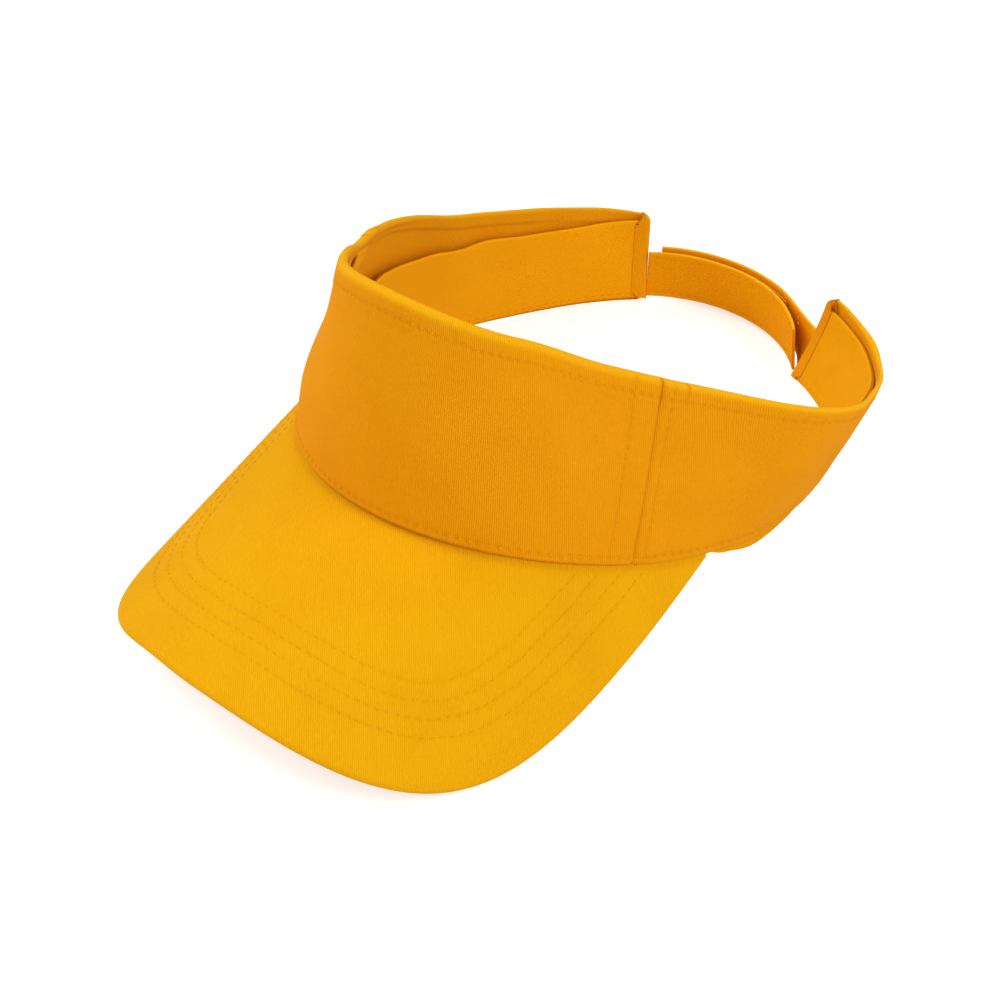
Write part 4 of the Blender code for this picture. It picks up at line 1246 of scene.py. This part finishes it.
def outer_line():
    """A Hermite curve from the fold at the left end on to the outer circle, then the circle."""
    root, _ = plan_of_end(LEFT, 0.12, 0.9)
    joins_at = ARC_LEFT + LEAD / OUTER_RADIUS
    tip_at = ARC_RIGHT - 4.5 / OUTER_RADIUS
    joins = on_arc(OUTER_RADIUS, joins_at)
    onward = np.array([-np.sin(joins_at), np.cos(joins_at)]) * LEAD * LEAD_PULL
    leaving = (joins - root) * LEAD_PULL
    t = np.linspace(0, 1, 15)[:-1, None]
    lead = (root * (2 * t**3 - 3 * t**2 + 1) + joins * (3 * t**2 - 2 * t**3)
            + leaving * (t**3 - 2 * t**2 + t) + onward * (t**3 - t**2))
    arc = on_arc(OUTER_RADIUS, np.linspace(joins_at, tip_at, 130))
    slope = np.concatenate([STRAP_SLOPE * ease(t[:, 0] / 0.5), np.full(len(arc), STRAP_SLOPE)])
    return np.concatenate([lead, arc]), slope, joins_at, tip_at


# %% Straps and tapes
def strap_piece(name, node_name, material, plan, slope, face_at, thickness, margin, relief, rows,
                root_lean=None, tip_lean=None):
    """The section of a cloth layer carried along a line in plan, leaning by slope.

    Its root follows the slanting end of the band, and its tip may be cut to the other end's
    slant: each fades out over 12 mm. margin is how much narrower it is than a strap.
    """
    low, high = STRAP_FOOT + margin, STRAP_FOOT + STRAP_WIDTH - margin
    share, lift, inner = (a[None, :] for a in section(thickness, rows))
    walked, step, away = along_plan(plan)
    walked = walked[:, None]
    z = low + thickness / 2 + (high - low - thickness) * share + lift
    face = 1 - inner / thickness
    raised, painted_shading = relief(walked, z - low, high - low, walked[-1])
    lean = np.asarray(slope) * np.ones(len(plan))
    offset = face_at - inner + raised * (face - 0.5) * 2 * 0.8
    offset = offset + lean[:, None] * (STRAP_FOOT + STRAP_WIDTH / 2 - z)
    place = plan[:, None] + away[:, None] * offset[..., None]
    if root_lean is not None:
        place = place + root_lean(z[0])[None] * (1 - ease(walked / LEAN_FADE))[..., None]
    if tip_lean is not None:
        ahead = (step[:, None] * tip_lean(z[0])[None]).sum(-1)
        ahead = ahead * (1 - ease((walked[-1] - walked) / LEAN_FADE))
        place = place + step[:, None] * ahead[..., None]
    points = np.concatenate([place, np.broadcast_to(z, place.shape[:2])[..., None]], -1)
    uv = np.stack(np.broadcast_arrays(walked, z + face * 0), -1)
    piece = closed_skin(name, points, uv, painted_shading * np.ones(points.shape[:2]))
    dress(piece, material, node_name)
    return piece


def strap_relief(walked, up, width, length):
    """Stitches 2.2 mm in from every edge, painted shade at the ends, painted highlight on long
    edges.
    """
    edge = np.minimum(up, width - up)
    end = np.minimum(walked, length - walked)
    inset = np.minimum(edge, end + 0 * up)
    along = np.where(edge < end, walked, up)
    # Painted shade at the ends and stitches, a painted highlight along the long edges.
    painted_shading = 0.25 * seam_shade(inset - STRAP_ROW, along) + 0.5 * hump(end + 0 * up, 0.9)
    return pucker(inset - STRAP_ROW, along, 0.12, 0.04, 2.0), painted_shading - 0.5 * hump(edge, 0.9)


def sew_strap(name, plan, slope, sign, body):
    """Stitches along both edges and across the tip, on the strap's outer (1) or inner (-1) face."""
    walked, _, away = along_plan(plan)
    low, high = STRAP_FOOT + STRAP_ROW, STRAP_FOOT + STRAP_WIDTH - STRAP_ROW
    first, last = STRAP_ROW, walked[-1] - STRAP_ROW
    t = np.linspace(0, 1, 200)
    along = [first + (last - first) * t, last + 0 * t[::10], last + (first - last) * t]
    along = np.concatenate(along)
    up = np.concatenate([low + 0 * t, low + (high - low) * t[::10], high + 0 * t])
    at = np.stack([np.interp(along, walked, plan[:, i]) for i in (0, 1)], -1)
    out = np.stack([np.interp(along, walked, away[:, i]) for i in (0, 1)], -1)
    lean = np.interp(along, walked, np.asarray(slope) * np.ones(len(plan)))
    offset = sign * (STRAP / 2 - THREAD_LOW) + lean * (STRAP_FOOT + STRAP_WIDTH / 2 - up)
    line = np.column_stack([at + out * offset[:, None], up])
    piece = sew(name, line, np.column_stack([out * sign, 0 * up]))
    dress(piece, THREAD)
    move_with(piece, None, body)


INNER_TIP, INNER_ROOT = ARC_LEFT + 1.9 / INNER_RADIUS, ARC_RIGHT + 0.27 / INNER_RADIUS
inner_plan = on_arc(INNER_RADIUS, np.linspace(INNER_ROOT, INNER_TIP, 140))
strap = strap_piece("inner_strap_cloth", "inner_strap", STRAP_CLOTH, inner_plan, STRAP_SLOPE,
                    STRAP / 2, STRAP, 0.0, strap_relief, 24, end_lean(RIGHT), end_lean(LEFT))
move_with(strap, None, "right_wing")
sew_strap("inner_strap_thread_inside", inner_plan, STRAP_SLOPE, -1, "right_wing")

outer_plan, outer_slope, JOINS_AT, TIP_AT = outer_line()
strap = strap_piece("outer_strap_cloth", "outer_strap", STRAP_CLOTH, outer_plan, outer_slope,
                    STRAP / 2, STRAP, 0.0, strap_relief, 24, end_lean(LEFT))
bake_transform(strap)
sew_strap("outer_strap_thread", outer_plan, outer_slope, 1, "closure")

# %% [markdown]
# Hook tape is a field of tiny stiff hooks in rows; loop tape is a soft, fuzzy pile. At this
# scale both are finishes: a bump of dots in rows for one, and of tangled noise for the other.

# %% Tape finishes
def nylon(name, base, deep, hooks):
    material, tree, shader = new_material(name)
    uv = node(tree, "ShaderNodeUVMap", {"uv_map": "cloth"}).outputs[0]
    if hooks:
        dots = node(tree, "ShaderNodeTexVoronoi", {"feature": "F1"}, Vector=uv, Scale=900.0,
                    Randomness=0.25)
        field = maths(tree)("SUBTRACT", 1.0, dots.outputs["Distance"])
    else:
        pile = node(tree, "ShaderNodeTexNoise", Vector=uv, Scale=1500.0, Detail=5.0, Roughness=0.7)
        field = pile.outputs["Fac"]
    # The colour darkens where the bump is low: painted shade between hooks and in the pile.
    tree.links.new(mix_colours(tree, field, (*deep, 1), (*base, 1)), shader.inputs["Base Color"])
    bump(tree, field, 1.0, 0.0004 if hooks else 0.0005, shader)
    shader.inputs["Roughness"].default_value = 0.55 if hooks else 0.9
    shader.inputs["Sheen Weight"].default_value = 0.01 if hooks else 0.04
    return material


def closure_tape(name, node_name, radius, outer_face, body, material):
    angles = np.linspace(JOINS_AT + 5.0 / radius, TIP_AT - 5.0 / radius, 110)
    piece = strap_piece(name, node_name, material, on_arc(radius, angles), STRAP_SLOPE, outer_face,
                        TAPE, TAPE_MARGIN, unsewn, 18)
    move_with(piece, None, body)


HOOKS = nylon("hook_tape_nylon", (0.90, 0.42, 0.010), (0.60, 0.20, 0.004), True)
LOOPS = nylon("loop_tape_nylon", (0.93, 0.42, 0.012), (0.75, 0.27, 0.006), False)
ON_STRAP = STRAP / 2 + TAPE_GAP
closure_tape("loop_tape_pile", "loop_tape", INNER_RADIUS, ON_STRAP + TAPE, "right_wing", LOOPS)
closure_tape("hook_tape_hooks", "hook_tape", OUTER_RADIUS, -ON_STRAP, "closure", HOOKS)

# %% [markdown]
# ## Floor, light and background
# The photograph has a pure white ground and soft light from above. A white floor and world are
# seen by the camera as white. The cloth is lit by three soft lamps and by a dimmer, even light
# from the world.

# %% Floor
FLOOR_WHITE, FLOOR_GLOW, WORLD_LIGHT = 0.82, 0.55, 0.62


def seen_by_the_eye(tree):
    """1 for camera, mirror and glass rays, 0 for the rays that light things."""
    m, path = maths(tree), node(tree, "ShaderNodeLightPath")
    mirrored = m("MAXIMUM", path.outputs["Is Glossy Ray"], path.outputs["Is Transmission Ray"])
    return m("MAXIMUM", path.outputs["Is Camera Ray"], mirrored)


def white_to_the_eye(name):
    """Diffuse white, plus a glow that only camera, mirror and glass rays see."""
    material, tree, shader = new_material(name)
    shader.inputs["Base Color"].default_value = (FLOOR_WHITE, FLOOR_WHITE, FLOOR_WHITE, 1)
    shader.inputs["Roughness"].default_value = 0.9
    shader.inputs["Specular IOR Level"].default_value = 0.0
    shader.inputs["Emission Color"].default_value = (1, 1, 1, 1)
    glow = maths(tree)("MULTIPLY", seen_by_the_eye(tree), FLOOR_GLOW)
    tree.links.new(glow, shader.inputs["Emission Strength"])
    return material


floor_mesh = bpy.data.meshes.new("floor")
corners = [(x, y, -0.0004) for x, y in ((-6, -6), (6, -6), (6, 6), (-6, 6))]
floor_mesh.from_pydata(corners, [], [(0, 1, 2, 3)])
floor = bpy.data.objects.new("floor", floor_mesh)
floor.data.materials.append(white_to_the_eye("floor_white"))
bpy.context.collection.objects.link(floor)

# %% World and lamps
world = bpy.data.worlds.new("world")
world.use_nodes = True
bpy.context.scene.world = world
tree = world.node_tree
background = tree.nodes["Background"]
m = maths(tree)
even = m("ADD", WORLD_LIGHT, m("MULTIPLY", seen_by_the_eye(tree), 1 - WORLD_LIGHT))
tree.links.new(even, background.inputs["Strength"])
background.inputs["Color"].default_value = (1, 1, 1, 1)


def softbox(name, at, watts, size=0.9, looks_at=(0, 0, 0.03)):
    data = bpy.data.lights.new(name, "AREA")
    data.shape, data.size, data.energy = "DISK", size, watts
    lamp = bpy.data.objects.new(name, data)
    lamp.location = at
    lamp.rotation_euler = (Vector(looks_at) - Vector(at)).to_track_quat("-Z", "Y").to_euler()
    bpy.context.collection.objects.link(lamp)


softbox("key", (-1.1, -0.35, 1.0), 8.5)
softbox("side", (1.1, 0.1, 0.95), 8.0)
softbox("front", (0.1, -1.2, 1.1), 2.5)
bpy.context.scene.view_settings.view_transform = "Standard"

# %% [markdown]
# ## The stitches
# At the end the script prints how many stitches it sewed. The dressed model has to stay within
# the imported one, apart from a little that cloth may stand proud.

# %% Count the stitches
print("stitches in all:", sum(SEWN))
